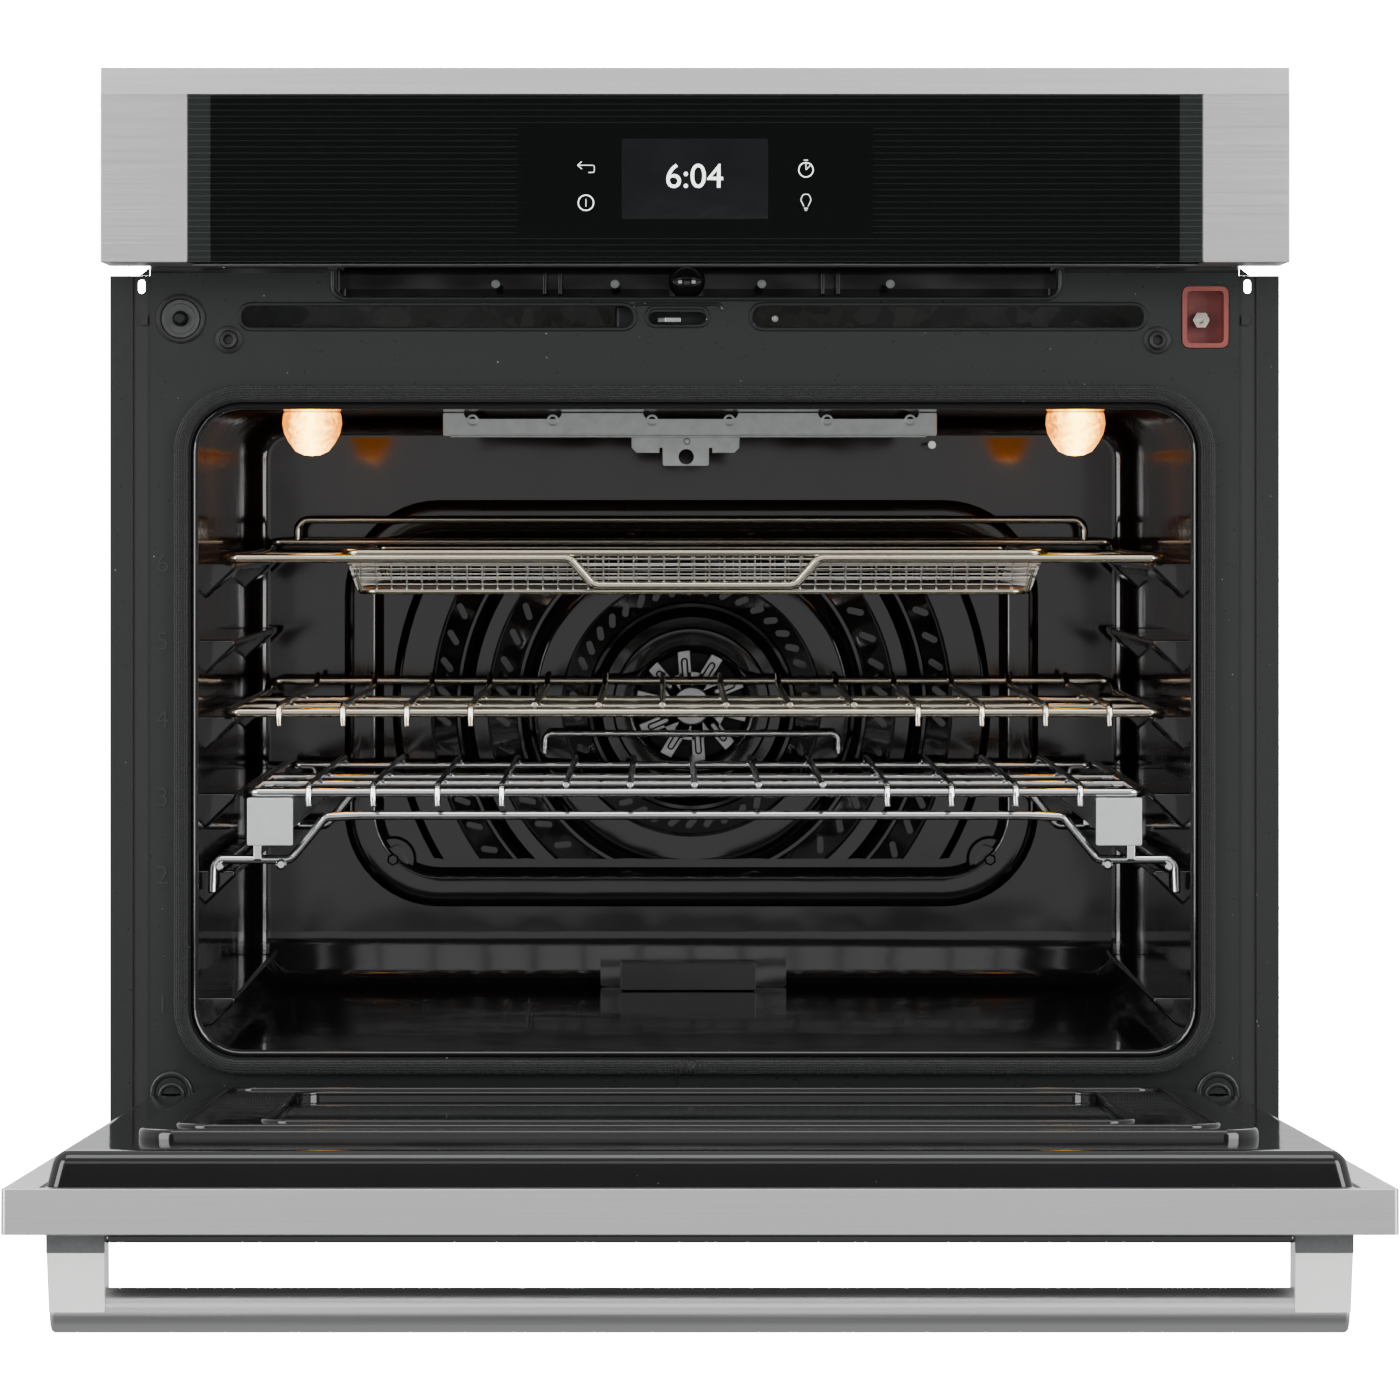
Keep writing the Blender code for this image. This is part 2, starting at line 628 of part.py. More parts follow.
def rack_perimeter(half, front, rear, z, rear_z, corner=14):
    """The closed outer wire; its rear side is raised as a stop."""
    corners = [(-half, front, z), (half, front, z), (half, rear - 22, z), (half - 2, rear, rear_z),
               (-half + 2, rear, rear_z), (-half, rear - 22, z)]
    return wire(rounded_path(corners, corner, closed=True, steps=2), closed=True)


def middle_rack():
    group = Group("middle_rack_slide", (0, RACK_FRONT, LEVELS[3] + WIRE))
    z = LEVELS[3] + WIRE + GAP
    rails = merged(*[wire([(-RACK_HALF + 0.5, y, z - 0.4), (RACK_HALF - 0.5, y, z - 0.4)], 2.6)
                     for y in (134, 280)])
    wires = merged(*[wire([(21 + 42 * i, RACK_FRONT - 2, z + 4.1),
                           (21 + 42 * i, RACK_REAR + 1, z + 4.7)], 2.2, 4)
                     for i in range(-7, 7)])
    piece("middle_rack", rack_perimeter(RACK_HALF, RACK_FRONT, RACK_REAR, z, z + 8), "rack_wire",
          group, join=[rails, wires])


def air_fry_rack():
    group = Group("air_fry_rack_slide", (0, RACK_FRONT, LEVELS[5] + WIRE))
    z = LEVELS[5] + WIRE + GAP
    front = RACK_FRONT
    corners = [(-RACK_HALF, front, z), (-82, front, z), (-66, front, z - 18), (66, front, z - 18),
               (82, front, z), (RACK_HALF, front, z), (RACK_HALF, 395, z), (291, RACK_REAR, z + 24),
               (-291, RACK_REAR, z + 24), (-RACK_HALF, 395, z)]
    loop = wire(rounded_path(corners, 9, closed=True, steps=2), closed=True)
    bar = wire([(-RACK_HALF + 0.5, 385, z - 0.4), (RACK_HALF - 0.5, 385, z - 0.4)], 2.6)
    piece("air_fry_rack", loop, "rack_wire", group, join=[bar])
    piece("air_fry_basket", basket_shape(z + WIRE + GAP), "rack_wire", group, thick=1.5)


def basket_shape(rim_z):
    """An open tray whose flared rim rests on the rack's rails."""
    depth = 24.5
    levels = [(223, 52, 372, rim_z - depth), (229, 42, 379, rim_z), (233, 31.5, 390, rim_z)]
    shape = bmesh.new()
    rings = []
    for half, front, rear, z in levels:
        corners = [(-half, front, z), (half, front, z), (half, rear, z), (-half, rear, z)]
        rings.append([shape.verts.new(corner) for corner in corners])
    shape.faces.new(rings[0])
    for low, high in zip(rings, rings[1:]):
        for i in range(4):
            shape.faces.new((low[i], low[(i + 1) % 4], high[(i + 1) % 4], high[i]))
    return shape


def glide_rack():
    """Deck on telescopic slides; the carrier hooks on the second level."""
    half = 293.0
    z = 268.5
    front, rear = 12.0, 412.0
    deck = Group("glide_rack_slide", (0, front, z))
    rails = merged(*[wire([(-half + 0.5, y, z - 0.4), (half - 0.5, y, z - 0.4)], 2.6)
                     for y in (170, 330)])
    wires = merged(*[wire([(42 * i, front - 2, z + 4.1), (42 * i, rear + 1, z + 4.7)], 2.2, 4)
                     for i in range(-6, 7)])
    stop = wire(rounded_path([(-107, rear + 0.6, z + 5), (-107, rear + 0.6, z + 21),
                              (107, rear + 0.6, z + 21), (107, rear + 0.6, z + 5)], 5), 2.5)
    caps = mirrored_boxes((262.5, 292.5), (8, 11.4), (234, z - WIRE - GAP))
    members = mirrored_boxes((268, 276), (10.6, 400), (240, MEMBER_TOP))
    piece("glide_rack", rack_perimeter(half, front, rear, z, z + 8), "chrome_wire", deck,
          join=[rails, wires, stop])
    tie = wire([(-270, 392, MEMBER_TOP - 3), (270, 392, MEMBER_TOP - 3)], 2.4)
    piece("glide_rails", caps, "chrome_wire", deck, join=[members, tie])
    slide = Group("slide_member_slide", (0, front, 250))
    for side, name in ((-1, "left"), (1, "right")):
        x = sorted((side * (276 + GAP), side * (284 - GAP)))
        piece(f"slide_member_{name}", box(x, (14, 410), (243, 259)), "zinc_steel", slide)
    channels = mirrored_boxes((284, 291), (16, 414), (238, 262))
    tabs = merged(*[mirrored_boxes((285, 290), (y - 6, y + 6), (222, 240)) for y in (38, 404)])
    cross = [carrier_wire(38, -1), carrier_wire(404, 1)]
    sides = merged(*[wire([(s * 313, 34, LEVELS[1] + WIRE + GAP),
                           (s * 313, 408, LEVELS[1] + WIRE + GAP)], 3) for s in (-1, 1)])
    piece("glide_carrier", cross[0], "chrome_wire",
          join=[sides, cross[1], tabs, channels])


def carrier_wire(y, direction):
    """Cross wire of the carrier, arched up under the deck."""
    leg = LEVELS[1] - 14
    half = [(317.4, y + direction * 3, leg), (317, y, 223), (266, y, 223), (243, y, 251),
            (220, y, 252)]
    if direction > 0:
        half = half[1:]
    route = [(-x, yy, zz) for x, yy, zz in half] + [(x, yy, zz) for x, yy, zz in half[::-1]]
    return wire(rounded_path(route, 6, steps=2), 3)


# ---------------------------------------------------------------- door

def door():
    group = Group("door_hinge_axis", (0, HINGE_Y, HINGE_Z), (radians(DOOR_OPEN), 0, 0))
    mid = (DOOR_TOP + DOOR_BOTTOM) / 2
    half = (DOOR_TOP - DOOR_BOTTOM) / 2
    shell = prism(rounded(OVERALL_HALF, half, 3, (0, mid), 2), (SKIN_FACE, SKIN_BACK))
    hollow = box((-OVERALL_HALF + SHEET, OVERALL_HALF - SHEET),
                 (SKIN_FACE + SHEET, SKIN_BACK - SHEET), (DOOR_BOTTOM + SHEET, DOOR_TOP - SHEET))
    openings = (box((-300, 300), (SKIN_FACE - 3, SKIN_FACE + 3), (110, 560)),
                box((-LINER_HALF - 1, LINER_HALF + 1), (SKIN_BACK - 3, SKIN_BACK + 3),
                    (DOOR_BOTTOM + SHEET, 584)),
                mirrored_boxes((HINGE_X - 8, HINGE_X + 8), (-42, -30), (38, 46)))
    piece("door_skin", shell, "brushed_stainless", group, cut=united(hollow, *openings))
    glass_mid = (75 + 604) / 2
    piece("door_outer_glass",
          prism(rounded(325, (604 - 75) / 2, 3, (0, glass_mid), 2),
                (PANEL_FACE, SKIN_FACE - GAP)), "black_glass", group)
    piece("door_middle_glass", box((-290, 290), (-50, -46.8), (120, 545)), "clear_glass", group)
    door_liner(group)
    hinge_arms(group)
    handle(group)


def door_liner(group):
    """Enamelled pan with a raised plug and the window opening."""
    low, high = 77.0, 596.0
    mid, half = (low + high) / 2, (high - low) / 2
    pan = prism(rounded(LINER_HALF, half, 14, (0, mid)), (SKIN_BACK + GAP, LINER_FACE))
    plug_half = (OPENING_TOP - OPENING_BOTTOM) / 2 - 6
    plug = prism(rounded(OPENING_HALF - 6, plug_half, 24, (0, OPENING_MID)),
                 (LINER_FACE - 0.8, PLUG_FACE))
    hollow = prism(rounded(LINER_HALF - SHEET, half - SHEET, 13, (0, mid)),
                   (SKIN_BACK - 2, LINER_FACE - SHEET))
    window = prism(rounded(250, 140, 18, (0, 310)), (LINER_FACE - 10, PLUG_FACE + 3))
    bottom = box((-345.8, -336.2), (-36, LINER_FACE - SHEET - 0.1), (70, 84))
    bottom_right = box((336.2, 345.8), (-36, LINER_FACE - SHEET - 0.1), (70, 84))
    piece("door_liner", pan, "charcoal_enamel", group, join=[plug],
          cut=united(hollow, window, bottom, bottom_right))
    piece("door_window", prism(rounded(262, 152, 18, (0, 310)),
                               (LINER_FACE - SHEET - GAP - 4, LINER_FACE - SHEET - GAP)),
          "clear_glass", group)


def hinge_arms(group):
    for side, name in ((-1, "left"), (1, "right")):
        middle = side * HINGE_X
        outline = [(-33, 54), (-21, 54), (-20, 62), (-20, 190), (-33, 190)]
        arm = prism(outline, (middle - 2.8, middle + 2.8), "x")
        pin = prism(circle(3.4, (HINGE_Y, HINGE_Z), 12), (middle - 8, middle + 8), "x")
        piece(f"hinge_arm_{name}", arm, "zinc_steel", group, join=[pin])


def handle(group):
    bar = turned([(0, -BAR_HALF), (BAR_RADIUS - 2, -BAR_HALF), (BAR_RADIUS, -BAR_HALF + 2),
                  (BAR_RADIUS, BAR_HALF - 2), (BAR_RADIUS - 2, BAR_HALF), (0, BAR_HALF)],
                 (0, BAR_Y, BAR_Z), "x", 24)
    piece("handle_bar", bar, "brushed_stainless", group)
    for side, name in ((-1, "left"), (1, "right")):
        outline = [(side * (POST_OUTER - 1), SKIN_FACE - GAP), (side * (POST_OUTER - 3), BAR_Y),
                   (side * (POST_INNER + 1), BAR_Y), (side * (POST_INNER + 1.5), SKIN_FACE - GAP)]
        saddle = prism(circle(BAR_RADIUS + GAP, (BAR_Y, BAR_Z), 32),
                       (side * 370, side * 300), "x")
        piece(f"handle_post_{name}", prism(outline, (BAR_Z - 13, BAR_Z + 13), "z"),
              "polished_stainless", group, cut=saddle)


def main():
    clear_scene()
    carcass()
    hinge_receivers()
    front_frame()
    front_fittings()
    control_panel()
    cavity()
    elements()
    fan_cover()
    convection_fan()
    broil_shield()
    lamps()
    cooling_blower()
    middle_rack()
    air_fry_rack()
    glide_rack()
    door()


main()
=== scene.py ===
# %% [markdown]
# # A built-in wall oven with its door open
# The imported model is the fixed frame: it says where each piece is and how it moves.
# This script dresses it. It copies no shape that is already right, rebuilds the shapes that need
# finer work, and gives every surface a finish. Sizes are in millimetres until a shape becomes an
# object, because that is how an oven is drawn.

# %% Load the frame
import json
from math import cos, pi, radians, sin, tan

import bmesh
import bpy
from mathutils import Matrix, Vector

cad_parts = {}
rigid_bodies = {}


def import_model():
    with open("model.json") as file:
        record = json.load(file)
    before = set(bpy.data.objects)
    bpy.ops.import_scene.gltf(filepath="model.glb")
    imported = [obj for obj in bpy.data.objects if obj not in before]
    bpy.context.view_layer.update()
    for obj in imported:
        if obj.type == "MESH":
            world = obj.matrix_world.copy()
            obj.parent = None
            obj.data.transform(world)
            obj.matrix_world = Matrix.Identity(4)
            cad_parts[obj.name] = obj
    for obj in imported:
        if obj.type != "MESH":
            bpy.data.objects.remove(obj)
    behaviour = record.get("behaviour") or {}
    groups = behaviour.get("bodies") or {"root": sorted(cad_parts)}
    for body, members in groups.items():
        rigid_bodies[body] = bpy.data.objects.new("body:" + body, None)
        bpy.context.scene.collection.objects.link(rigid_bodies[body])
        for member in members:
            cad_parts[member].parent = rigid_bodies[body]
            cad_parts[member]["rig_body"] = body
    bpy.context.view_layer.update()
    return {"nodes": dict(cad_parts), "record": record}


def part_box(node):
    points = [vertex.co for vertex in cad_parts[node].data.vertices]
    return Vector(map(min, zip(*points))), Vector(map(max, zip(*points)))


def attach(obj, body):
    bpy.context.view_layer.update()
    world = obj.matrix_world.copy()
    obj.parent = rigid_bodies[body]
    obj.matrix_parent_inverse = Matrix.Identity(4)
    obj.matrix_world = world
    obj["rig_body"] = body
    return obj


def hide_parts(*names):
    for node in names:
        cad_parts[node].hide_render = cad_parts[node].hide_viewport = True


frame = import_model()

MM = 0.001

# %% [markdown]
# ## Camera and studio
# A product picture of an oven is taken from some metres away with a long lens, level with the
# upper half of the opening. The lens is shifted down so that the open door stays in the picture
# and upright lines stay upright.

# %% Camera
CAMERA_PLACE = (-18, -3474, 460)
SENSOR = 36.0
LENS = 137.0

lens = bpy.data.cameras.new("camera")
lens.sensor_width = SENSOR
lens.lens = LENS
lens.shift_x = 0.0236
lens.shift_y = -0.143
lens.clip_end = 60
camera = bpy.data.objects.new("camera", lens)
camera.location = Vector(CAMERA_PLACE) * MM
camera.rotation_euler = (radians(90), 0, 0)
bpy.context.scene.collection.objects.link(camera)
bpy.context.scene.camera = camera
print("camera", LENS, "mm")

# %% [markdown]
# Every shader is built with one small function. It makes a node, sets its values and links its
# inputs, so a finish reads from top to bottom like a recipe.

# %% A node with its settings and links
def add_node(tree, kind, settings=None, links=None):
    node = tree.nodes.new("ShaderNode" + kind)
    for key, value in (settings or {}).items():
        if isinstance(key, str) and hasattr(node, key):
            setattr(node, key, value)
        else:
            node.inputs[key].default_value = value
    for key, source in (links or {}).items():
        tree.links.new(source, node.inputs[key])
    return node


def srgb(hex_code):
    """A hex colour as the linear numbers that a shader works with."""
    parts = [int(hex_code[i:i + 2], 16) / 255 for i in (1, 3, 5)]
    linear = [p / 12.92 if p <= 0.04045 else ((p + 0.055) / 1.055) ** 2.4 for p in parts]
    return (*linear, 1.0)


# %% [markdown]
# The room is white on all sides but darker in front of the oven, where the photographer's wall
# is. Glossy enamel mirrors that darker part, which keeps the inside of the oven black. What the
# camera itself sees behind the oven is plain white.

# %% Room light
world = bpy.data.worlds.new("studio")
bpy.context.scene.world = world
world.use_nodes = True
room = world.node_tree
room.nodes.clear()
direction = add_node(room, "TexCoord")
parts = add_node(room, "SeparateXYZ", links={0: direction.outputs["Generated"]})
ahead = add_node(room, "MapRange", {"From Min": -1.0, "From Max": -0.25,
                                    "To Min": 0.08, "To Max": 0.95}, {"Value": parts.outputs["Y"]})
below = add_node(room, "MapRange", {"From Min": -0.8, "From Max": 0.1,
                                    "To Min": 0.42, "To Max": 1.0}, {"Value": parts.outputs["Z"]})
strength = add_node(room, "Math", {"operation": "MULTIPLY"},
                    {0: ahead.outputs["Result"], 1: below.outputs["Result"]})
seen = add_node(room, "LightPath")
lit = add_node(room, "Background", {"Color": srgb("#f4f5f6")}, {"Strength": strength.outputs[0]})
backdrop = add_node(room, "Background", {"Color": srgb("#ffffff"), "Strength": 30.0})
both = add_node(room, "MixShader", links={0: seen.outputs["Is Camera Ray"], 1: lit.outputs[0],
                                          2: backdrop.outputs[0]})
add_node(room, "OutputWorld", links={"Surface": both.outputs[0]})
print("room light set")

# %% [markdown]
# Two tall soft boxes stand left and right of the camera and one hangs over the front edge. They
# give the brushed steel its slow change from light to dark. A dim card behind the camera, no
# higher than the oven, is what the glossy enamel mirrors. The panel's glass looks over it, into
# the dark gap below a second, higher card that only the rougher steel and leaning faces catch.

# %% Soft boxes
def soft_box(name, stand, aim, width, height, power):
    light = bpy.data.lights.new(name, "AREA")
    light.shape = "RECTANGLE"
    light.size = width
    light.size_y = height
    light.energy = power
    lamp = bpy.data.objects.new(name, light)
    lamp.location = stand
    lamp.rotation_euler = (Vector(aim) - Vector(stand)).to_track_quat("-Z", "Y").to_euler()
    bpy.context.scene.collection.objects.link(lamp)


soft_box("soft_box_left", (-2.1, -2.4, 1.1), (0, 0, 0.5), 1.4, 2.4, 80)
soft_box("soft_box_right", (2.1, -2.4, 1.1), (0, 0, 0.5), 1.4, 2.4, 80)
soft_box("white_card", (0, -3.62, 0.08), (0, 0, 0.08), 2.3, 1.3, 8.5)
soft_box("high_card", (0, -3.5, 1.8), (0, 0, 0.3), 3.0, 1.1, 13)
soft_box("soft_box_top", (0, -1.2, 3.0), (0, 0, 0.3), 2.6, 1.4, 40)
soft_box("soft_box_rear", (0, 3.2, 2.2), (0, 0.4, 0.4), 3.0, 1.6, 60)
print("soft boxes set")

# %% [markdown]
# An oven like this sits in a tall cabinet, so its underside is well above the floor.

# %% Floor
FLOOR_DROP = -0.75
floor_shape = bmesh.new()
bmesh.ops.create_grid(floor_shape, x_segments=1, y_segments=1, size=3)
bmesh.ops.translate(floor_shape, verts=floor_shape.verts, vec=(0, 0, FLOOR_DROP))
floor_mesh = bpy.data.meshes.new("floor")
floor_shape.to_mesh(floor_mesh)
floor_shape.free()
floor_finish = bpy.data.materials.new("painted_floor")
floor_finish.use_nodes = True
floor_shader = floor_finish.node_tree.nodes["Principled BSDF"]
floor_shader.inputs["Base Color"].default_value = srgb("#f6f6f5")
floor_shader.inputs["Roughness"].default_value = 0.9
floor_shader.inputs["Emission Color"].default_value = srgb("#ffffff")
floor_shader.inputs["Emission Strength"].default_value = 0.25
floor_mesh.materials.append(floor_finish)
floor = bpy.data.objects.new("floor", floor_mesh)
bpy.context.scene.collection.objects.link(floor)
floor.visible_glossy = False

# %% [markdown]
# ## Finishes
# Each finish starts from what the real surface is and how it was made. All of them share the same
# opening lines: a material, its shader and the object coordinates, in metres.

# %% Start of a finish
FINISHES = {}


def start_finish(name, **values):
    """A material with its shader sockets set, its node tree and its object coordinates."""
    material = bpy.data.materials.new(name)
    material.use_nodes = True
    tree = material.node_tree
    shader = tree.nodes["Principled BSDF"]
    for key, value in values.items():
        shader.inputs[key.replace("_", " ")].default_value = value
    FINISHES[name] = material
    coordinates = add_node(tree, "TexCoord").outputs["Object"]
    return tree, shader, coordinates


def vary(tree, shader, socket, pattern, low, high):
    """Let a grey pattern drive a shader socket between two numbers."""
    span = add_node(tree, "MapRange", {"To Min": low, "To Max": high}, {"Value": pattern})
    tree.links.new(span.outputs["Result"], shader.inputs[socket])


def blend_colours(tree, shader, pattern, low, high, socket="Base Color"):
    """Let a grey pattern drive a colour between two hex colours."""
    mix = add_node(tree, "Mix", {"data_type": "RGBA", 6: srgb(low), 7: srgb(high)}, {0: pattern})
    tree.links.new(mix.outputs[2], shader.inputs[socket])


def dent(tree, shader, pattern, strength, depth):
    """Relief from a grey pattern; depth in millimetres."""
    bump = add_node(tree, "Bump", {"Strength": strength, "Distance": depth * MM}, {"Height": pattern})
    tree.links.new(bump.outputs["Normal"], shader.inputs["Normal"])


# %% [markdown]
# **Brushed stainless steel.** A belt drags grit along the sheet, so the scratches are long and
# thin. The real ones are about 0.1 mm wide; they are drawn 0.8 mm wide so that they show.

# %% Brushed and polished stainless steel
GRAIN_WIDTH = 0.8
GRAIN_LENGTH = 160.0


def brushed_stainless():
    tree, shader, where = start_finish("brushed_stainless", Metallic=1.0, Roughness=0.3)
    across = 1 / (GRAIN_WIDTH * MM)
    along = 1 / (GRAIN_LENGTH * MM)
    stretched = add_node(tree, "Mapping", {"Scale": (along, across, across)}, {"Vector": where})
    grain = add_node(tree, "TexNoise", {"Scale": 1.0, "Detail": 3.0}, {"Vector": stretched.outputs[0]})
    vary(tree, shader, "Roughness", grain.outputs["Fac"], 0.24, 0.40)
    blend_colours(tree, shader, grain.outputs["Fac"], "#cbcbcb", "#e0e0df")
    dent(tree, shader, grain.outputs["Fac"], 0.10, 0.05)


def polished_stainless():
    tree, shader, where = start_finish("polished_stainless", Metallic=1.0, Roughness=0.12)
    haze = add_node(tree, "TexNoise", {"Scale": 1 / (30 * MM), "Detail": 4.0}, {"Vector": where})
    vary(tree, shader, "Roughness", haze.outputs["Fac"], 0.10, 0.20)
    blend_colours(tree, shader, haze.outputs["Fac"], "#cfcfcd", "#dededc")


brushed_stainless()
polished_stainless()

# %% [markdown]
# **Charcoal enamel.** Powdered glass is fired onto the steel. It comes out semi-glossy, with a
# faint orange-peel surface and fine pale flecks, about one to a square centimetre.

# %% Charcoal enamel
FLECK_SPACING = 8.0
FLECK_RADIUS = 0.35


def flecks(tree, where, spacing, radius):
    """Dots of one radius, about one to each cell, fading to nothing in most cells."""
    cells = add_node(tree, "TexVoronoi", {"Scale": 1 / (spacing * MM)}, {"Vector": where})
    size = add_node(tree, "SeparateColor", links={0: cells.outputs["Color"]})
    reach = add_node(tree, "Math", {"operation": "MULTIPLY", 1: radius / spacing},
                     {0: size.outputs[0]})
    dot = add_node(tree, "Math", {"operation": "LESS_THAN"},
                   {0: cells.outputs["Distance"], 1: reach.outputs[0]})
    return dot.outputs[0]


def charcoal_enamel():
    tree, shader, where = start_finish("charcoal_enamel", Roughness=0.35, Coat_Weight=0.08,
                                       Coat_Roughness=0.05, Specular_IOR_Level=0.34)
    peel = add_node(tree, "TexNoise", {"Scale": 1 / (5 * MM), "Detail": 2.0}, {"Vector": where})
    blend_colours(tree, shader, flecks(tree, where, FLECK_SPACING, FLECK_RADIUS), "#1d1f1f", "#b4b6b3")
    vary(tree, shader, "Roughness", peel.outputs["Fac"], 0.24, 0.36)
    dent(tree, shader, peel.outputs["Fac"], 0.08, 0.2)


charcoal_enamel()

# %% [markdown]
# **Black enamel** covers the cavity and the inside of the door. It is glossier and wavier than
# the frame's: the sheet under it is pressed thin, so reflections of the lamps wander.

# %% Black enamel
def black_enamel():
    tree, shader, where = start_finish("black_enamel", Roughness=0.1, Specular_IOR_Level=0.6)
    wave = add_node(tree, "TexNoise", {"Scale": 1 / (45 * MM), "Detail": 1.0}, {"Vector": where})
    blend_colours(tree, shader, flecks(tree, where, 11.0, 0.3), "#131314", "#7f7f7d")
    vary(tree, shader, "Roughness", wave.outputs["Fac"], 0.05, 0.11)
    dent(tree, shader, wave.outputs["Fac"], 0.3, 1.0)


black_enamel()

# %% [markdown]
# **Galvanised steel.** Molten zinc freezes into flat crystals a centimetre or so across, called
# spangle. Each crystal reflects a little differently, so cells of a Voronoi pattern carry it.

# %% Galvanised and zinc-plated steel
SPANGLE = 11.0


def galvanised_steel():
    tree, shader, where = start_finish("galvanised_steel", Metallic=1.0, Roughness=0.42)
    crystals = add_node(tree, "TexVoronoi", {"Scale": 1 / (SPANGLE * MM)}, {"Vector": where})
    tone = add_node(tree, "SeparateColor", links={0: crystals.outputs["Color"]})
    blend_colours(tree, shader, tone.outputs[0], "#a2a5a6", "#c3c6c7")
    vary(tree, shader, "Roughness", tone.outputs[1], 0.34, 0.52)


def zinc_steel():
    tree, shader, where = start_finish("zinc_steel", Metallic=1.0, Roughness=0.4)
    cloud = add_node(tree, "TexNoise", {"Scale": 1 / (9 * MM), "Detail": 6.0}, {"Vector": where})
    blend_colours(tree, shader, cloud.outputs["Fac"], "#8b908e", "#b9bdbb")
    vary(tree, shader, "Roughness", cloud.outputs["Fac"], 0.30, 0.50)
    dent(tree, shader, cloud.outputs["Fac"], 0.10, 0.1)


galvanised_steel()
zinc_steel()

# %% [markdown]
# **Black glass.** The panel's glass is printed black on its back. Pale lines about 4 mm apart
# cross it, except round the display, and the print stops short of both ends, where a grey tint shows.

# %% Black and clear glass
STRIPE_PITCH = 3.92
STRIPE_WIDTH = 0.55
PLAIN_HALF = 114.0
TINT_START = 310.4
PLAIN_BOTTOM = 629.0
PLAIN_TOP = 700.5


def step(tree, value, edge, operation="GREATER_THAN"):
    return add_node(tree, "Math", {"operation": operation, 1: edge}, {0: value}).outputs[0]


def striped_glass():
    tree, shader, where = start_finish("striped_glass", Roughness=0.05, Coat_Weight=0.3)
    axes = add_node(tree, "SeparateXYZ", links={0: where})
    aside = add_node(tree, "Math", {"operation": "ABSOLUTE"}, {0: axes.outputs["X"]}).outputs[0]
    height = axes.outputs["Z"]
    turn = add_node(tree, "Math", {"operation": "PINGPONG", 1: STRIPE_PITCH / 2 * MM}, {0: height})
    line = step(tree, turn.outputs[0], STRIPE_WIDTH / 2 * MM, "LESS_THAN")
    outside = [step(tree, aside, PLAIN_HALF * MM), step(tree, height, PLAIN_TOP * MM),
               step(tree, height, PLAIN_BOTTOM * MM, "LESS_THAN")]
    striped = outside[0]
    for other in outside[1:]:
        striped = add_node(tree, "Math", {"operation": "MAXIMUM"}, {0: striped, 1: other}).outputs[0]
    print_line = add_node(tree, "Math", {"operation": "MULTIPLY"}, {0: line, 1: striped})
    lines = add_node(tree, "Mix", {"data_type": "RGBA", 6: srgb("#060707"), 7: srgb("#171a19")},
                     {0: print_line.outputs[0]})
    tinted_lines = add_node(tree, "Mix", {"data_type": "RGBA", 6: srgb("#1f2221"),
                                          7: srgb("#2e3130")}, {0: print_line.outputs[0]})
    ends = add_node(tree, "Mix", {"data_type": "RGBA"},
                    {0: step(tree, aside, TINT_START * MM), 6: lines.outputs[2],
                     7: tinted_lines.outputs[2]})
    tree.links.new(ends.outputs[2], shader.inputs["Base Color"])


def black_glass():
    tree, shader, where = start_finish("black_glass", Roughness=0.04, Coat_Weight=0.3)
    smear = add_node(tree, "TexNoise", {"Scale": 1 / (70 * MM), "Detail": 3.0}, {"Vector": where})
    blend_colours(tree, shader, smear.outputs["Fac"], "#070809", "#0d0e0f")
    vary(tree, shader, "Roughness", smear.outputs["Fac"], 0.03, 0.08)


def clear_glass():
    tree, shader, where = start_finish("clear_glass", Roughness=0.03, Transmission_Weight=0.75,
                                       Coat_Weight=0.4)
    smear = add_node(tree, "TexNoise", {"Scale": 1 / (60 * MM), "Detail": 3.0}, {"Vector": where})
    blend_colours(tree, shader, smear.outputs["Fac"], "#23292a", "#2c3232")
    vary(tree, shader, "Roughness", smear.outputs["Fac"], 0.02, 0.06)


striped_glass()
black_glass()
clear_glass()

# %% [markdown]
# **Lamp glass** is pressed, thick and faceted, with a hot filament behind it. It glows warm and
# unevenly: pale in the middle, amber at the edge and dim at the rear, where the holder is.

# %% Lamp glass
LAMP_X, LAMP_Y = 256.0, 100.0


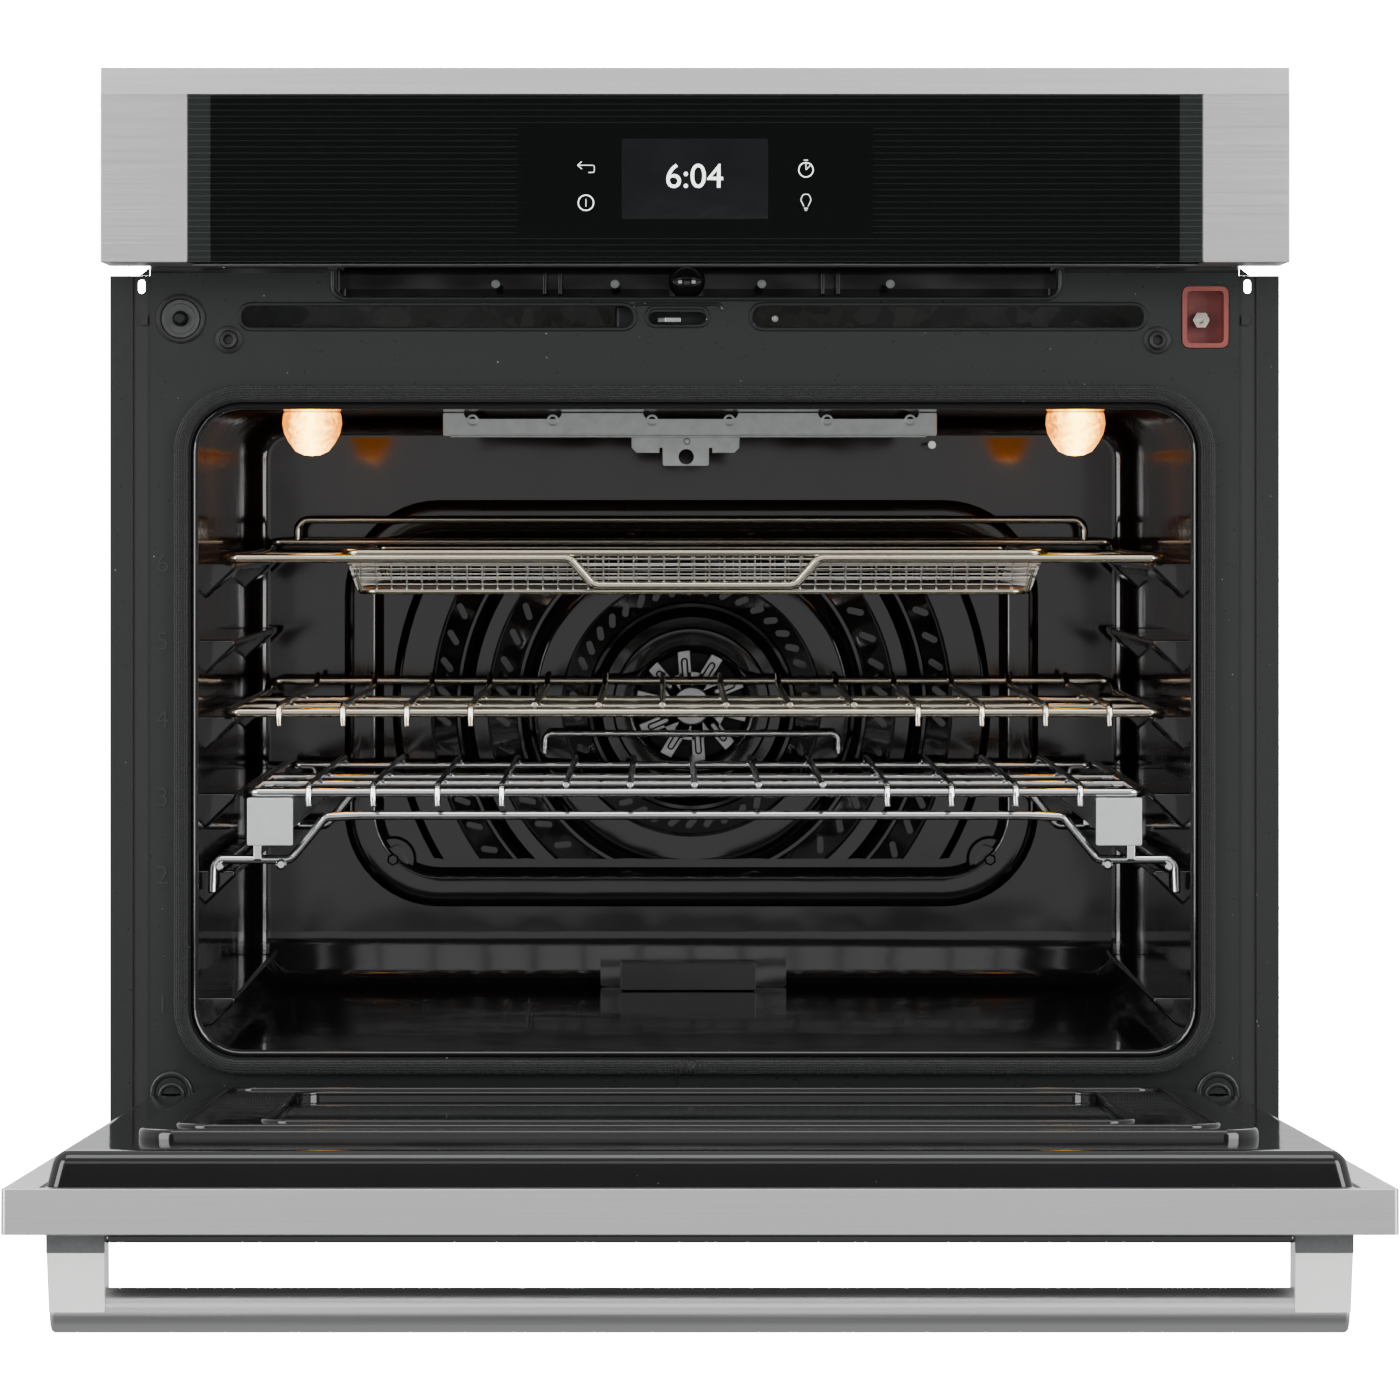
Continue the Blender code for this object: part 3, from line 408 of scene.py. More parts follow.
def lamp_glass():
    tree, shader, where = start_finish("lamp_glass", Roughness=0.06)
    facets = add_node(tree, "TexVoronoi", {"Scale": 1 / (11 * MM)}, {"Vector": where})
    swirl = add_node(tree, "TexNoise", {"Scale": 1 / (7 * MM), "Detail": 3.0, "Distortion": 1.5},
                     {"Vector": where})
    axes = add_node(tree, "SeparateXYZ", links={0: where})
    aside = add_node(tree, "Math", {"operation": "ABSOLUTE"}, {0: axes.outputs["X"]}).outputs[0]
    off = add_node(tree, "Math", {"operation": "SUBTRACT", 1: LAMP_X * MM}, {0: aside}).outputs[0]
    edge = add_node(tree, "Math", {"operation": "ABSOLUTE"}, {0: off}).outputs[0]
    far = add_node(tree, "MapRange", {"From Max": 20 * MM}, {"Value": edge}).outputs[0]
    aged = add_node(tree, "Math", {"operation": "ADD"}, {0: swirl.outputs["Fac"], 1: far})
    rear = add_node(tree, "MapRange", {"From Min": (LAMP_Y + 2) * MM, "From Max": (LAMP_Y + 14) * MM},
                    {"Value": axes.outputs["Y"]})
    dimmer = add_node(tree, "Math", {"operation": "ADD"}, {0: aged.outputs[0], 1: rear.outputs[0]})
    glow = add_node(tree, "MapRange", {"From Min": 0.6, "From Max": 1.35}, {"Value": dimmer.outputs[0]})
    blend_colours(tree, shader, glow.outputs[0], "#ffd45c", "#ff9000", "Emission Color")
    blend_colours(tree, shader, glow.outputs[0], "#8a6a40", "#6a3c10")
    vary(tree, shader, "Emission Strength", glow.outputs[0], 12.0, 2.4)
    dent(tree, shader, facets.outputs["Distance"], 0.5, 1.5)


lamp_glass()

# %% [markdown]
# **Rack wire.** Drawn steel wire is plated with nickel, which looks warm, or chromium, which looks
# cooler. Years of heat leave faint straw-coloured patches on the nickel.

# %% Plated wire
def plated(name, low, high, roughness):
    tree, shader, where = start_finish(name, Metallic=1.0, Roughness=roughness)
    heat = add_node(tree, "TexNoise", {"Scale": 1 / (40 * MM), "Detail": 3.0}, {"Vector": where})
    drawn = add_node(tree, "TexNoise", {"Scale": 1 / (1.5 * MM), "Detail": 2.0}, {"Vector": where})
    blend_colours(tree, shader, heat.outputs["Fac"], low, high)
    vary(tree, shader, "Roughness", heat.outputs["Fac"], roughness * 0.8, roughness * 1.4)
    dent(tree, shader, drawn.outputs["Fac"], 0.05, 0.05)


plated("rack_wire", "#c9bda6", "#e2dccd", 0.16)
plated("chrome_wire", "#d2d3d4", "#e6e7e8", 0.11)
plated("nickel_plate", "#d8d2c2", "#ece7da", 0.15)
plated("mesh_wire", "#dedad2", "#f4f2ec", 0.35)

# %% [markdown]
# **The gasket** is a knitted glass-fibre tube round a spring. Its yarns cross on a slant. The
# pattern follows the tube with two numbers that are stored on its vertices: the distance along it
# and the angle round it. Real yarns are 0.8 mm apart; here they are 2 mm, so that they show.

# %% Knitted glass fibre
YARN_PITCH = 2.0


def slanted_yarn(tree, along, around, slant):
    turned = add_node(tree, "Math", {"operation": "MULTIPLY", 1: slant}, {0: around})
    phase = add_node(tree, "Math", {"operation": "ADD"}, {0: along, 1: turned.outputs[0]})
    return add_node(tree, "Math", {"operation": "SINE"}, {0: phase.outputs[0]}).outputs[0]


def braided_gasket():
    tree, shader, where = start_finish("braided_gasket", Roughness=0.85, Sheen_Weight=0.1,
                                       Specular_IOR_Level=0.3)
    length = add_node(tree, "Attribute", {"attribute_name": "along"})
    along = add_node(tree, "Math", {"operation": "MULTIPLY", 1: 2 * pi / YARN_PITCH},
                     {0: length.outputs["Fac"]}).outputs[0]
    around = add_node(tree, "Attribute", {"attribute_name": "around"}).outputs["Fac"]
    right = slanted_yarn(tree, along, around, 9.0)
    left = slanted_yarn(tree, along, around, -9.0)
    weave = add_node(tree, "Math", {"operation": "MULTIPLY"}, {0: right, 1: left}).outputs[0]
    fuzz = add_node(tree, "TexNoise", {"Scale": 1 / (1.2 * MM), "Detail": 4.0}, {"Vector": where})
    relief = add_node(tree, "Math", {"operation": "ADD"}, {0: weave, 1: fuzz.outputs["Fac"]})
    tone = add_node(tree, "MapRange", {"From Min": -1.0, "From Max": 2.0}, {"Value": relief.outputs[0]})
    blend_colours(tree, shader, tone.outputs[0], "#0b0c0c", "#272929")
    dent(tree, shader, relief.outputs[0], 1.0, 0.8)


braided_gasket()

# %% [markdown]
# **The rest** are plain workshop finishes: oxidised heater sheath, blackened motor steel, stamped
# aluminium, moulded plastic and rubber, silicone, mineral wool and the lacquer of a circuit board.

# %% Workshop finishes
def cloudy(name, low, high, grain, roughness, relief=0.1, **values):
    """A finish whose colour, gloss and surface drift with one noise of a given grain in mm."""
    tree, shader, where = start_finish(name, **values)
    cloud = add_node(tree, "TexNoise", {"Scale": 1 / (grain * MM), "Detail": 5.0}, {"Vector": where})
    blend_colours(tree, shader, cloud.outputs["Fac"], low, high)
    vary(tree, shader, "Roughness", cloud.outputs["Fac"], roughness * 0.8, roughness * 1.2)
    dent(tree, shader, cloud.outputs["Fac"], relief, grain * 0.1)


cloudy("heating_element", "#1e1c1a", "#38332e", 3.0, 0.6, Metallic=0.5)
cloudy("motor_steel", "#1b1c1d", "#2f3031", 2.0, 0.45, Metallic=0.8)
cloudy("fan_steel", "#b9bbbc", "#d4d5d6", 4.0, 0.45, Metallic=0.9)
cloudy("black_plastic", "#131414", "#1d1e1e", 0.8, 0.42)
cloudy("black_rubber", "#070707", "#101010", 1.2, 0.6)
cloudy("sensor_cap", "#353636", "#454646", 2.0, 0.3, Metallic=0.3)
cloudy("red_silicone", "#6e2a25", "#86403a", 2.5, 0.42)
cloudy("mineral_wool", "#c5b278", "#e8dcb0", 1.5, 0.95, 0.8)
cloudy("display_screen", "#0e0f10", "#141516", 30.0, 0.12)
cloudy("copper_winding", "#8a4b22", "#c27a3d", 1.0, 0.35, 0.4, Metallic=1.0)
# A darker steel used only for the painted shade at the roots of the handle posts.
cloudy("post_root_shade", "#58595a", "#6c6d6e", 3.0, 0.4, Metallic=0.7)
cloudy("satin_stainless", "#ededeb", "#fafaf8", 25.0, 0.25, 0.02, Metallic=0.45)
cloudy("end_plate_steel", "#c3c7c7", "#d2d5d5", 6.0, 0.5, 0.05, Metallic=0.85)


def circuit_board():
    tree, shader, where = start_finish("circuit_board", Roughness=0.4, Coat_Weight=0.4)
    tracks = add_node(tree, "TexBrick", {"Scale": 1 / (60 * MM), "Mortar Size": 0.03,
                                         "Color1": srgb("#0f5a34"), "Color2": srgb("#12663c"),
                                         "Mortar": srgb("#b08d3c")}, {"Vector": where})
    tree.links.new(tracks.outputs["Color"], shader.inputs["Base Color"])
    dent(tree, shader, tracks.outputs["Fac"], 0.2, 0.1)


def printed_light():
    tree, shader, where = start_finish("printed_light", Roughness=0.4, Emission_Strength=1.6)
    even = add_node(tree, "TexNoise", {"Scale": 1 / (20 * MM)}, {"Vector": where})
    blend_colours(tree, shader, even.outputs["Fac"], "#e8ebec", "#ffffff", "Emission Color")
    blend_colours(tree, shader, even.outputs["Fac"], "#e8ebec", "#ffffff")


circuit_board()
printed_light()
print(len(FINISHES), "finishes")

# %% [markdown]
# Every node of the frame takes the finish that its record names. Most visible ones are then
# replaced by finer pieces, and the inner ones stay as they are.

# %% Dress the frame
for part in frame["record"]["subparts"]:
    node = frame["nodes"][part["node"]]
    node.data.materials.clear()
    node.data.materials.append(FINISHES[part["material_slot"]])
print("frame dressed")

# %% [markdown]
# ## Shaping helpers
# A shape is a bmesh in millimetres. `place` scales it to metres, gives it its finish and lets it ride
# on a body. `stands_for` says which nodes of the frame it stands for, and hides them.


def place(name, shape, finish, body="root", stands_for=(), crease=35, turn=None, sheet=0):
    if turn:
        bmesh.ops.transform(shape, matrix=turn, verts=shape.verts)
    bmesh.ops.scale(shape, vec=(MM, MM, MM), verts=shape.verts)
    mesh = bpy.data.meshes.new(name)
    shape.to_mesh(mesh)
    shape.free()
    mesh.materials.append(FINISHES[finish])
    mesh.shade_smooth()
    mesh.set_sharp_from_angle(angle=radians(crease))
    piece = bpy.data.objects.new(name, mesh)
    bpy.context.scene.collection.objects.link(piece)
    if sheet:
        wall = piece.modifiers.new("Sheet", "SOLIDIFY")
        wall.thickness = sheet * MM
        wall.offset = -1.0
    piece.modifiers.new("Even shading", "WEIGHTED_NORMAL").keep_sharp = True
    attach(piece, body)
    if stands_for:
        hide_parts(*stands_for)
    print(name, len(mesh.polygons), "faces")
    return piece


def joined(*shapes):
    """Several shapes in one bmesh, each still its own body."""
    result = bmesh.new()
    for shape in shapes:
        mesh = bpy.data.meshes.new("joined")
        shape.to_mesh(mesh)
        result.from_mesh(mesh)
        bpy.data.meshes.remove(mesh)
        shape.free()
    return result


# %% [markdown]
# Sheet metal never has a perfectly sharp edge, and a rounded edge is what catches the light. So
# each block has its edges bevelled: first the upright corners, then the rim.

# %% Blocks, plates and rounded edges
def block(x, y, z):
    shape = bmesh.new()
    bmesh.ops.create_cube(shape, size=1.0)
    spans = (x, y, z)
    bmesh.ops.scale(shape, verts=shape.verts, vec=[high - low for low, high in spans])
    bmesh.ops.translate(shape, verts=shape.verts, vec=[(high + low) / 2 for low, high in spans])
    return shape


def bevel(shape, edges, width, segments):
    bmesh.ops.bevel(shape, geom=edges, offset=width, offset_type="OFFSET", affect="EDGES",
                    segments=segments, profile=0.5, clamp_overlap=True, material=-1)


def round_edges(shape, width, segments=3, axis=None, sharper=25):
    """Round the sharp edges, or only those that run along one axis."""
    edges = [e for e in shape.edges if e.is_manifold and e.calc_face_angle(0) > radians(sharper)]
    if axis is not None:
        edges = [e for e in edges
                 if abs((e.verts[0].co - e.verts[1].co).normalized()["xyz".index(axis)]) > 0.99]
    bevel(shape, edges, width, segments)
    return shape


def plate(x, y, z, axis, corner, rim=0.6, corner_steps=8, rim_steps=2):
    """A plate whose corners are round about one axis and whose rim is softened."""
    shape = round_edges(block(x, y, z), corner, corner_steps, axis)
    return round_edges(shape, rim, rim_steps, sharper=50)


# %% [markdown]
# A node of the frame can also be copied and softened. Its loose triangles are merged, flat
# neighbours are dissolved, and what is still sharp gets a fine bevel.

# %% Softened copies of the frame's nodes
def softened(node, width=0.5, segments=2, sharper=30):
    shape = bmesh.new()
    shape.from_mesh(frame["nodes"][node].data)
    bmesh.ops.scale(shape, verts=shape.verts, vec=(1 / MM, 1 / MM, 1 / MM))
    bmesh.ops.remove_doubles(shape, verts=shape.verts, dist=0.002)
    bmesh.ops.dissolve_limit(shape, angle_limit=radians(1), verts=shape.verts, edges=shape.edges)
    return round_edges(shape, width, segments, sharper=sharper)


def soften_node(node, width=0.5, segments=2, sharper=30, extra=(), finish=None, crease=35):
    """Stand a softened copy, with what is welded to it, in the node's place."""
    finish = finish or next(p["material_slot"] for p in frame["record"]["subparts"]
                            if p["node"] == node)
    shape = joined(softened(node, width, segments, sharper), *extra)
    return place(node + "_soft", shape, finish, frame["nodes"][node]["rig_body"], (node,), crease)


# %% [markdown]
# Holes and pressed shapes come from Boolean modifiers on throw-away objects. The result is read
# back as a bmesh, so nothing of the helpers stays in the scene.

# %% Cutting and joining solids
def boolean(base, tool, operation="DIFFERENCE", solver="EXACT"):
    helpers = []
    for shape in (base, tool):
        bmesh.ops.recalc_face_normals(shape, faces=shape.faces)
        mesh = bpy.data.meshes.new("helper")
        shape.to_mesh(mesh)
        shape.free()
        helper = bpy.data.objects.new("helper", mesh)
        bpy.context.scene.collection.objects.link(helper)
        helpers.append(helper)
    modifier = helpers[0].modifiers.new("Boolean", "BOOLEAN")
    modifier.operation = operation
    modifier.solver = solver
    modifier.object = helpers[1]
    evaluated = helpers[0].evaluated_get(bpy.context.evaluated_depsgraph_get())
    result = bmesh.new()
    result.from_mesh(evaluated.to_mesh())
    evaluated.to_mesh_clear()
    for helper in helpers:
        bpy.data.objects.remove(helper, do_unlink=True)
    return result


# %% [markdown]
# Turned parts are a profile of (radius, distance) points spun about an axis.

# %% Turned parts
AXES = {"x": ((1, 0, 0), (0, 1, 0)), "y": ((0, 1, 0), (1, 0, 0)), "z": ((0, 0, 1), (1, 0, 0))}


def turned(profile, centre=(0, 0, 0), axis="y", steps=32, closed=False):
    """Spin a profile a whole turn. A closed profile makes a ring."""
    along, out = (Vector(v) for v in AXES[axis])
    shape = bmesh.new()
    verts = [shape.verts.new(out * r + along * t) for r, t in profile]
    pairs = list(zip(verts, verts[1:])) + ([(verts[-1], verts[0])] if closed else [])
    edges = [shape.edges.new(pair) for pair in pairs]
    bmesh.ops.spin(shape, geom=verts + edges, cent=(0, 0, 0), axis=along, angle=2 * pi,
                   steps=steps, use_merge=True)
    bmesh.ops.remove_doubles(shape, verts=shape.verts, dist=0.001)
    bmesh.ops.recalc_face_normals(shape, faces=shape.faces)
    bmesh.ops.translate(shape, verts=shape.verts, vec=centre)
    return shape


def prism(outline, span, axis="y"):
    """A flat outline pushed along an axis."""
    order = {"x": (2, 0, 1), "y": (0, 2, 1), "z": (0, 1, 2)}[axis]
    shape = bmesh.new()
    corners = [shape.verts.new([(u, v, span[0])[k] for k in order]) for u, v in outline]
    face = shape.faces.new(corners)
    pushed = bmesh.ops.extrude_face_region(shape, geom=[face])["geom"]
    step_along = Vector([(0, 0, span[1] - span[0])[k] for k in order])
    bmesh.ops.translate(shape, verts=[v for v in pushed if isinstance(v, bmesh.types.BMVert)],
                        vec=step_along)
    bmesh.ops.recalc_face_normals(shape, faces=shape.faces)
    return shape


# %% [markdown]
# Racks are bent wire. A wire bender feeds a straight length, swings it round a mandrel, feeds
# again, and so on. `bent_wire` does the same with a disc: it pushes the rim along each run and
# spins it round each bend. It notes the distance travelled and the angle round the wire on every
# vertex, for finishes that follow the wire.

# %% Bent wire
def bent_wire(corners, radius=3.0, bend=8.0, sides=12, closed=False, arc_steps=5):
    points = [Vector(corner) for corner in corners]
    if closed:
        seam = (points[-1] + points[0]) / 2
        near = (points[0] - points[-1]).normalized() * radius
        points = [seam, *points, seam - near]
    shape = bmesh.new()
    along = shape.verts.layers.float.new("along")
    around = shape.verts.layers.float.new("around")
    heading = (points[1] - points[0]).normalized()
    frame_turn = heading.to_track_quat("Z", "Y").to_matrix().to_4x4()
    bmesh.ops.create_circle(shape, cap_ends=not closed, segments=sides, radius=radius,
                            matrix=Matrix.Translation(points[0]) @ frame_turn)
    shape.verts.ensure_lookup_table()
    for number, vert in enumerate(shape.verts):
        vert[around] = 2 * pi * number / sides
    first = rim = list(shape.edges)
    travelled = 0.0
    stop = points[0]
    for i in range(1, len(points)):
        before = (points[i] - points[i - 1]).normalized()
        after = (points[i + 1] - points[i]).normalized() if i < len(points) - 1 else before
        angle = before.angle(after)
        reach = bend * tan(angle / 2)
        target = points[i] - before * reach
        travelled += (target - stop).length
        rim = push_rim(shape, rim, target - stop, along, travelled)
        if angle > 0.001:
            swing = before.cross(after).normalized()
            centre = target + swing.cross(before) * bend
            for _ in range(arc_steps):
                travelled += bend * angle / arc_steps
                rim = swing_rim(shape, rim, centre, swing, angle / arc_steps, along, travelled)
        stop = points[i] + after * reach
    if closed:
        bmesh.ops.bridge_loops(shape, edges=first + rim)
    else:
        bmesh.ops.edgeloop_fill(shape, edges=rim)
        tips = [f for f in shape.faces if len(f.verts) == sides]
        bevel(shape, list({e for f in tips for e in f.edges}), radius * 0.4, 2)
    bmesh.ops.recalc_face_normals(shape, faces=shape.faces)
    return shape


def ring_edges(geometry):
    """The edges of the newest ring and its vertices."""
    verts = {g for g in geometry if isinstance(g, bmesh.types.BMVert)}
    edges = [g for g in geometry if isinstance(g, bmesh.types.BMEdge)
             and g.verts[0] in verts and g.verts[1] in verts]
    return list(verts), edges


def push_rim(shape, rim, step_along, along, travelled):
    verts, edges = ring_edges(bmesh.ops.extrude_edge_only(shape, edges=rim)["geom"])
    bmesh.ops.translate(shape, verts=verts, vec=step_along)
    for vert in verts:
        vert[along] = travelled
    return edges


def swing_rim(shape, rim, centre, swing, angle, along, travelled):
    geometry = list({v for e in rim for v in e.verts}) + list(rim)
    last = bmesh.ops.spin(shape, geom=geometry, cent=centre, axis=swing, angle=angle, steps=1,
                          use_merge=False)["geom_last"]
    verts, edges = ring_edges(last)
    for vert in verts:
        vert[along] = travelled
    return edges


sample = bent_wire([(0, 0, 0), (40, 0, 0), (40, 30, 0)])
print("a wire with one bend has", len(sample.faces), "faces")
sample.free()

# %% [markdown]
# Text is a font object first. It becomes a mesh, is turned to face the user and then moved, so its
# object stays at the origin like every other piece.

# %% Raised digits
def lettering(words, size, depth, centre):
    curve = bpy.data.curves.new("lettering", "FONT")
    curve.body = words
    curve.size = size
    curve.extrude = depth / 2
    curve.align_x = "CENTER"
    curve.align_y = "CENTER"
    helper = bpy.data.objects.new("lettering", curve)
    bpy.context.scene.collection.objects.link(helper)
    evaluated = helper.evaluated_get(bpy.context.evaluated_depsgraph_get())
    shape = bmesh.new()
    shape.from_mesh(evaluated.to_mesh())
    evaluated.to_mesh_clear()
    bpy.data.objects.remove(helper, do_unlink=True)
    bmesh.ops.remove_doubles(shape, verts=shape.verts, dist=0.001)
    bmesh.ops.transform(shape, verts=shape.verts,
                        matrix=Matrix.Translation(centre) @ Matrix.Rotation(pi / 2, 4, "X"))
    return shape


def mm_box(node):
    """A node's lowest and highest corner in millimetres."""
    low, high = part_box(node)
    return low / MM, high / MM


# %% [markdown]
# ## The oven cavity
# The real liner is pressed and welded from five sheets, then enamelled until the seams vanish. It
# is easiest to model the air inside it: a block with round corners, a foot at the rear that
# leans forward a little, a notch in that foot, and the rack ledges taken out. Turned inside out,
# the air's surface is the liner's.

# %% The air inside the cavity
LINER_SHEET = 1.5
CLEAR = 0.3
floor_low, floor_high = mm_box("cavity_floor")
ceiling_high = mm_box("cavity_ceiling")[1]
CAVITY_HALF = floor_high.x - LINER_SHEET
CAVITY_LOW = floor_low.z + LINER_SHEET + CLEAR
CAVITY_HIGH = ceiling_high.z - LINER_SHEET - CLEAR
CAVITY_DEPTH = floor_high.y
CORNER = 28.0
LEVEL_PITCH = 50.8
LEVELS = [131.0] + [215.0 + LEVEL_PITCH * i for i in range(5)]
LEDGE_TIP = CAVITY_HALF - 20.0
SLOPE_RISE = 40.0
SLOPE_START = CAVITY_DEPTH - 9.0


def ledge(side, level, span, drop):
    """One pressed shelf: flat on top, falling back to the wall below."""
    tip, root = side * LEDGE_TIP, side * (CAVITY_HALF + 6)
    outline = [(root, level), (tip, level), (tip, level - 4), (root, level - drop)]
    return round_edges(prism(outline, span), 3.6 if drop > 20 else 2.5, 4)


def cavity_air():
    air = block((-CAVITY_HALF, CAVITY_HALF), (0, CAVITY_DEPTH), (CAVITY_LOW, CAVITY_HIGH))
    run = CAVITY_DEPTH - SLOPE_START
    cut = bmesh.ops.bisect_plane(air, geom=air.verts[:] + air.edges[:] + air.faces[:],
                                 plane_co=(0, SLOPE_START, CAVITY_LOW),
                                 plane_no=(0, SLOPE_RISE, -run), clear_outer=True)
    edges = [g for g in cut["geom_cut"] if isinstance(g, bmesh.types.BMEdge)]
    bmesh.ops.edgeloop_fill(air, edges=edges)
    round_edges(air, CORNER, 8, "y")
    back = [e for e in air.edges if e.calc_face_angle(0) > radians(20)
            and min(v.co.y for v in e.verts) > 1]
    bevel(air, back, 13, 4)
    notch = [(-67, CAVITY_LOW + 0.2), (-67, CAVITY_LOW + 30), (-54, CAVITY_LOW + 38),
             (56, CAVITY_LOW + 38), (70, CAVITY_LOW + 30), (70, CAVITY_LOW + 0.2)]
    notch_air = round_edges(prism(notch, (SLOPE_START - 15, CAVITY_DEPTH - 1)), 3, 3, "y")
    for vert in notch_air.verts:
        if vert.co.y > CAVITY_DEPTH - 2:
            vert.co.y -= 7 - (vert.co.z - CAVITY_LOW) * 0.18
    air = boolean(air, notch_air, "UNION")
    ledges = []
    for side in (-1, 1):
        for level in LEVELS:
            ledges.append(ledge(side, level, (50, 94), 29))
            ledges.append(ledge(side, level - 0.4, (96, 382), 15))
            ledges.append(ledge(side, level, (384, 428), 29))
    return boolean(air, joined(*ledges))


# %% [markdown]
# At the opening, the liner rolls outwards over the front frame as a narrow round lip. The open
# rim is extruded a little at a time, each time further out along its own corner's radius.

# %% The rolled lip
LIP = [(0.3, -3.2), (1.2, -4.3), (2.4, -4.8), (3.6, -4.5), (4.5, -3.7), (4.8, -3.1)]


def grow_rim(shape, rim, grow, y):
    """Extrude the rim of the opening and set it at a distance outside the opening's outline."""
    verts, edges = ring_edges(bmesh.ops.extrude_edge_only(shape, edges=rim)["geom"])
    middle = (CAVITY_LOW + CAVITY_HIGH) / 2
    half = (CAVITY_HIGH - CAVITY_LOW) / 2
    for vert in verts:
        x = max(-CAVITY_HALF + CORNER, min(CAVITY_HALF - CORNER, vert.co.x))
        z = max(middle - half + CORNER, min(middle + half - CORNER, vert.co.z))
        out = Vector((vert.co.x - x, 0, vert.co.z - z)).normalized()
        vert.co = Vector((x, y, z)) + out * (CORNER + grow)
    return edges


def cavity_liner():
    air = cavity_air()
    front = [f for f in air.faces if all(v.co.y < 0.01 for v in f.verts)]
    bmesh.ops.delete(air, geom=front, context="FACES")
    bmesh.ops.reverse_faces(air, faces=air.faces)
    rim = [e for e in air.edges if e.is_boundary]
    for grow, y in LIP:
        rim = grow_rim(air, rim, grow, y)
    return air


place("cavity_liner", cavity_liner(), "black_enamel", sheet=1.2, stands_for=(
    "cavity_floor", "cavity_ceiling", "cavity_wall_left", "cavity_wall_right", "cavity_back"))

# %% [markdown]
# A small cover sits in the notch, over the end of the lower heater. A lip folds back along its top
# edge.

# %% Heater end cover
cover = plate((-52, 47), (412, 418), (CAVITY_LOW + 0.4, CAVITY_LOW + 21), "y", 2, 0.8, 3)
fold = plate((-52, 47), (412, 436), (CAVITY_LOW + 19.5, CAVITY_LOW + 21.4), "z", 2, 0.6, 2)
place("heater_end_cover", joined(cover, fold), "black_enamel")

# %% [markdown]
# ## Fan cover
# A dished plate closes off the fan at the rear. Its middle is a big pressed disc of rings: grooves,
# flat bands and bands of slots. The disc is spun from one profile, and two planes cut it off above
# and below.

# %% The pressed disc
FAN_Z = 308.5
DISC_REACH = 112.0
DISC_PROFILE = [(39, 447), (39.4, 443), (41.5, 439.5), (46, 437), (56.5, 436.2), (57.2, 437),
                (58.2, 435), (65.5, 434), (67, 437.5), (69.2, 441), (71.6, 437.5), (73, 434),
                (75.5, 433.6), (77, 435.4), (94, 438.6), (95.6, 433.4), (112, 433), (115.5, 434),
                (118.2, 439), (121, 442), (123.6, 439), (125.6, 434.2), (128, 434.2),
                (129.4, 435.6), (148.5, 439), (150, 433.6), (160, 433.6), (162, 437.5),
                (165.4, 442), (168.4, 437.5), (169.8, 434.2), (172, 434.2), (173.2, 435.6),
                (190, 438.8), (191.6, 433.6), (213.4, 433.8), (215.4, 436), (217.4, 441.5), (222, 446)]
SLOT_TILT = radians(-42)


def disc_slots():
    """Capsule-shaped cutters on three circles, all turned the same way against the radius."""
    circles = [(85.5, 42, 180, 10.5), (139, 42, 52, 13.0), (182, 56, 38, 12.5)]
    cutters = []
    for radius, count, reach, length in circles:
        for i in range(count):
            angle = 2 * pi * (i + 0.5) / count
            aside = abs((angle + pi / 2) % pi - pi / 2)
            if aside > radians(reach):
                continue
            slot = plate((-length / 2, length / 2), (430, 446), (-2.4, 2.4), "y", 2.35, 0.01, 3, 1)
            bmesh.ops.rotate(slot, verts=slot.verts, cent=(0, 0, 0),
                             matrix=Matrix.Rotation(-(angle + SLOT_TILT), 3, "Y"))
            bmesh.ops.translate(slot, verts=slot.verts,
                                vec=(radius * cos(angle), 0, FAN_Z + radius * sin(angle)))
            cutters.append(slot)
    return joined(*cutters)


def fan_disc():
    disc = turned(DISC_PROFILE, (0, 0, FAN_Z), "y", 96, closed=True)
    for way in (-1, 1):
        cut = bmesh.ops.bisect_plane(disc, geom=disc.verts[:] + disc.edges[:] + disc.faces[:],
                                     plane_co=(0, 0, FAN_Z + way * DISC_REACH),
                                     plane_no=(0, 0, way), clear_outer=True)
        bmesh.ops.holes_fill(disc, edges=[g for g in cut["geom_cut"]
                                          if isinstance(g, bmesh.types.BMEdge)])
    return boolean(disc, disc_slots(), solver="MANIFOLD")


# %% [markdown]
# The dish round it is a plate with large round corners. Its face is inset three times: the first
# inset leaves a flat border, and the others push the middle back with a shoulder.

# %% The dish
DISH_HALF = 255.0
DISH_MID = 310.4
DISH_HALF_HEIGHT = 149.5


def fan_dish():
    z = (DISH_MID - DISH_HALF_HEIGHT, DISH_MID + DISH_HALF_HEIGHT)
    dish = round_edges(block((-DISH_HALF, DISH_HALF), (436, 463), z), 70, 12, "y")
    face = min(dish.faces, key=lambda f: f.calc_center_median().y)
    bevel(dish, list(face.edges), 8, 4)
    face = min(dish.faces, key=lambda f: f.calc_center_median().y)
    for inwards, back in ((13, 0), (3, 2), (5, 6)):
        bmesh.ops.inset_individual(dish, faces=[face], thickness=inwards, depth=-back,
                                   use_even_offset=True)
    hollow = round_edges(block((-DISH_HALF + 3, DISH_HALF - 3), (446, 470),
                               (z[0] + 3, z[1] - 3)), 67, 12, "y")
    dish = boolean(dish, hollow)
    return boolean(dish, turned([(0, 430), (62, 430), (62, 450), (0, 450)], (0, 0, FAN_Z)))


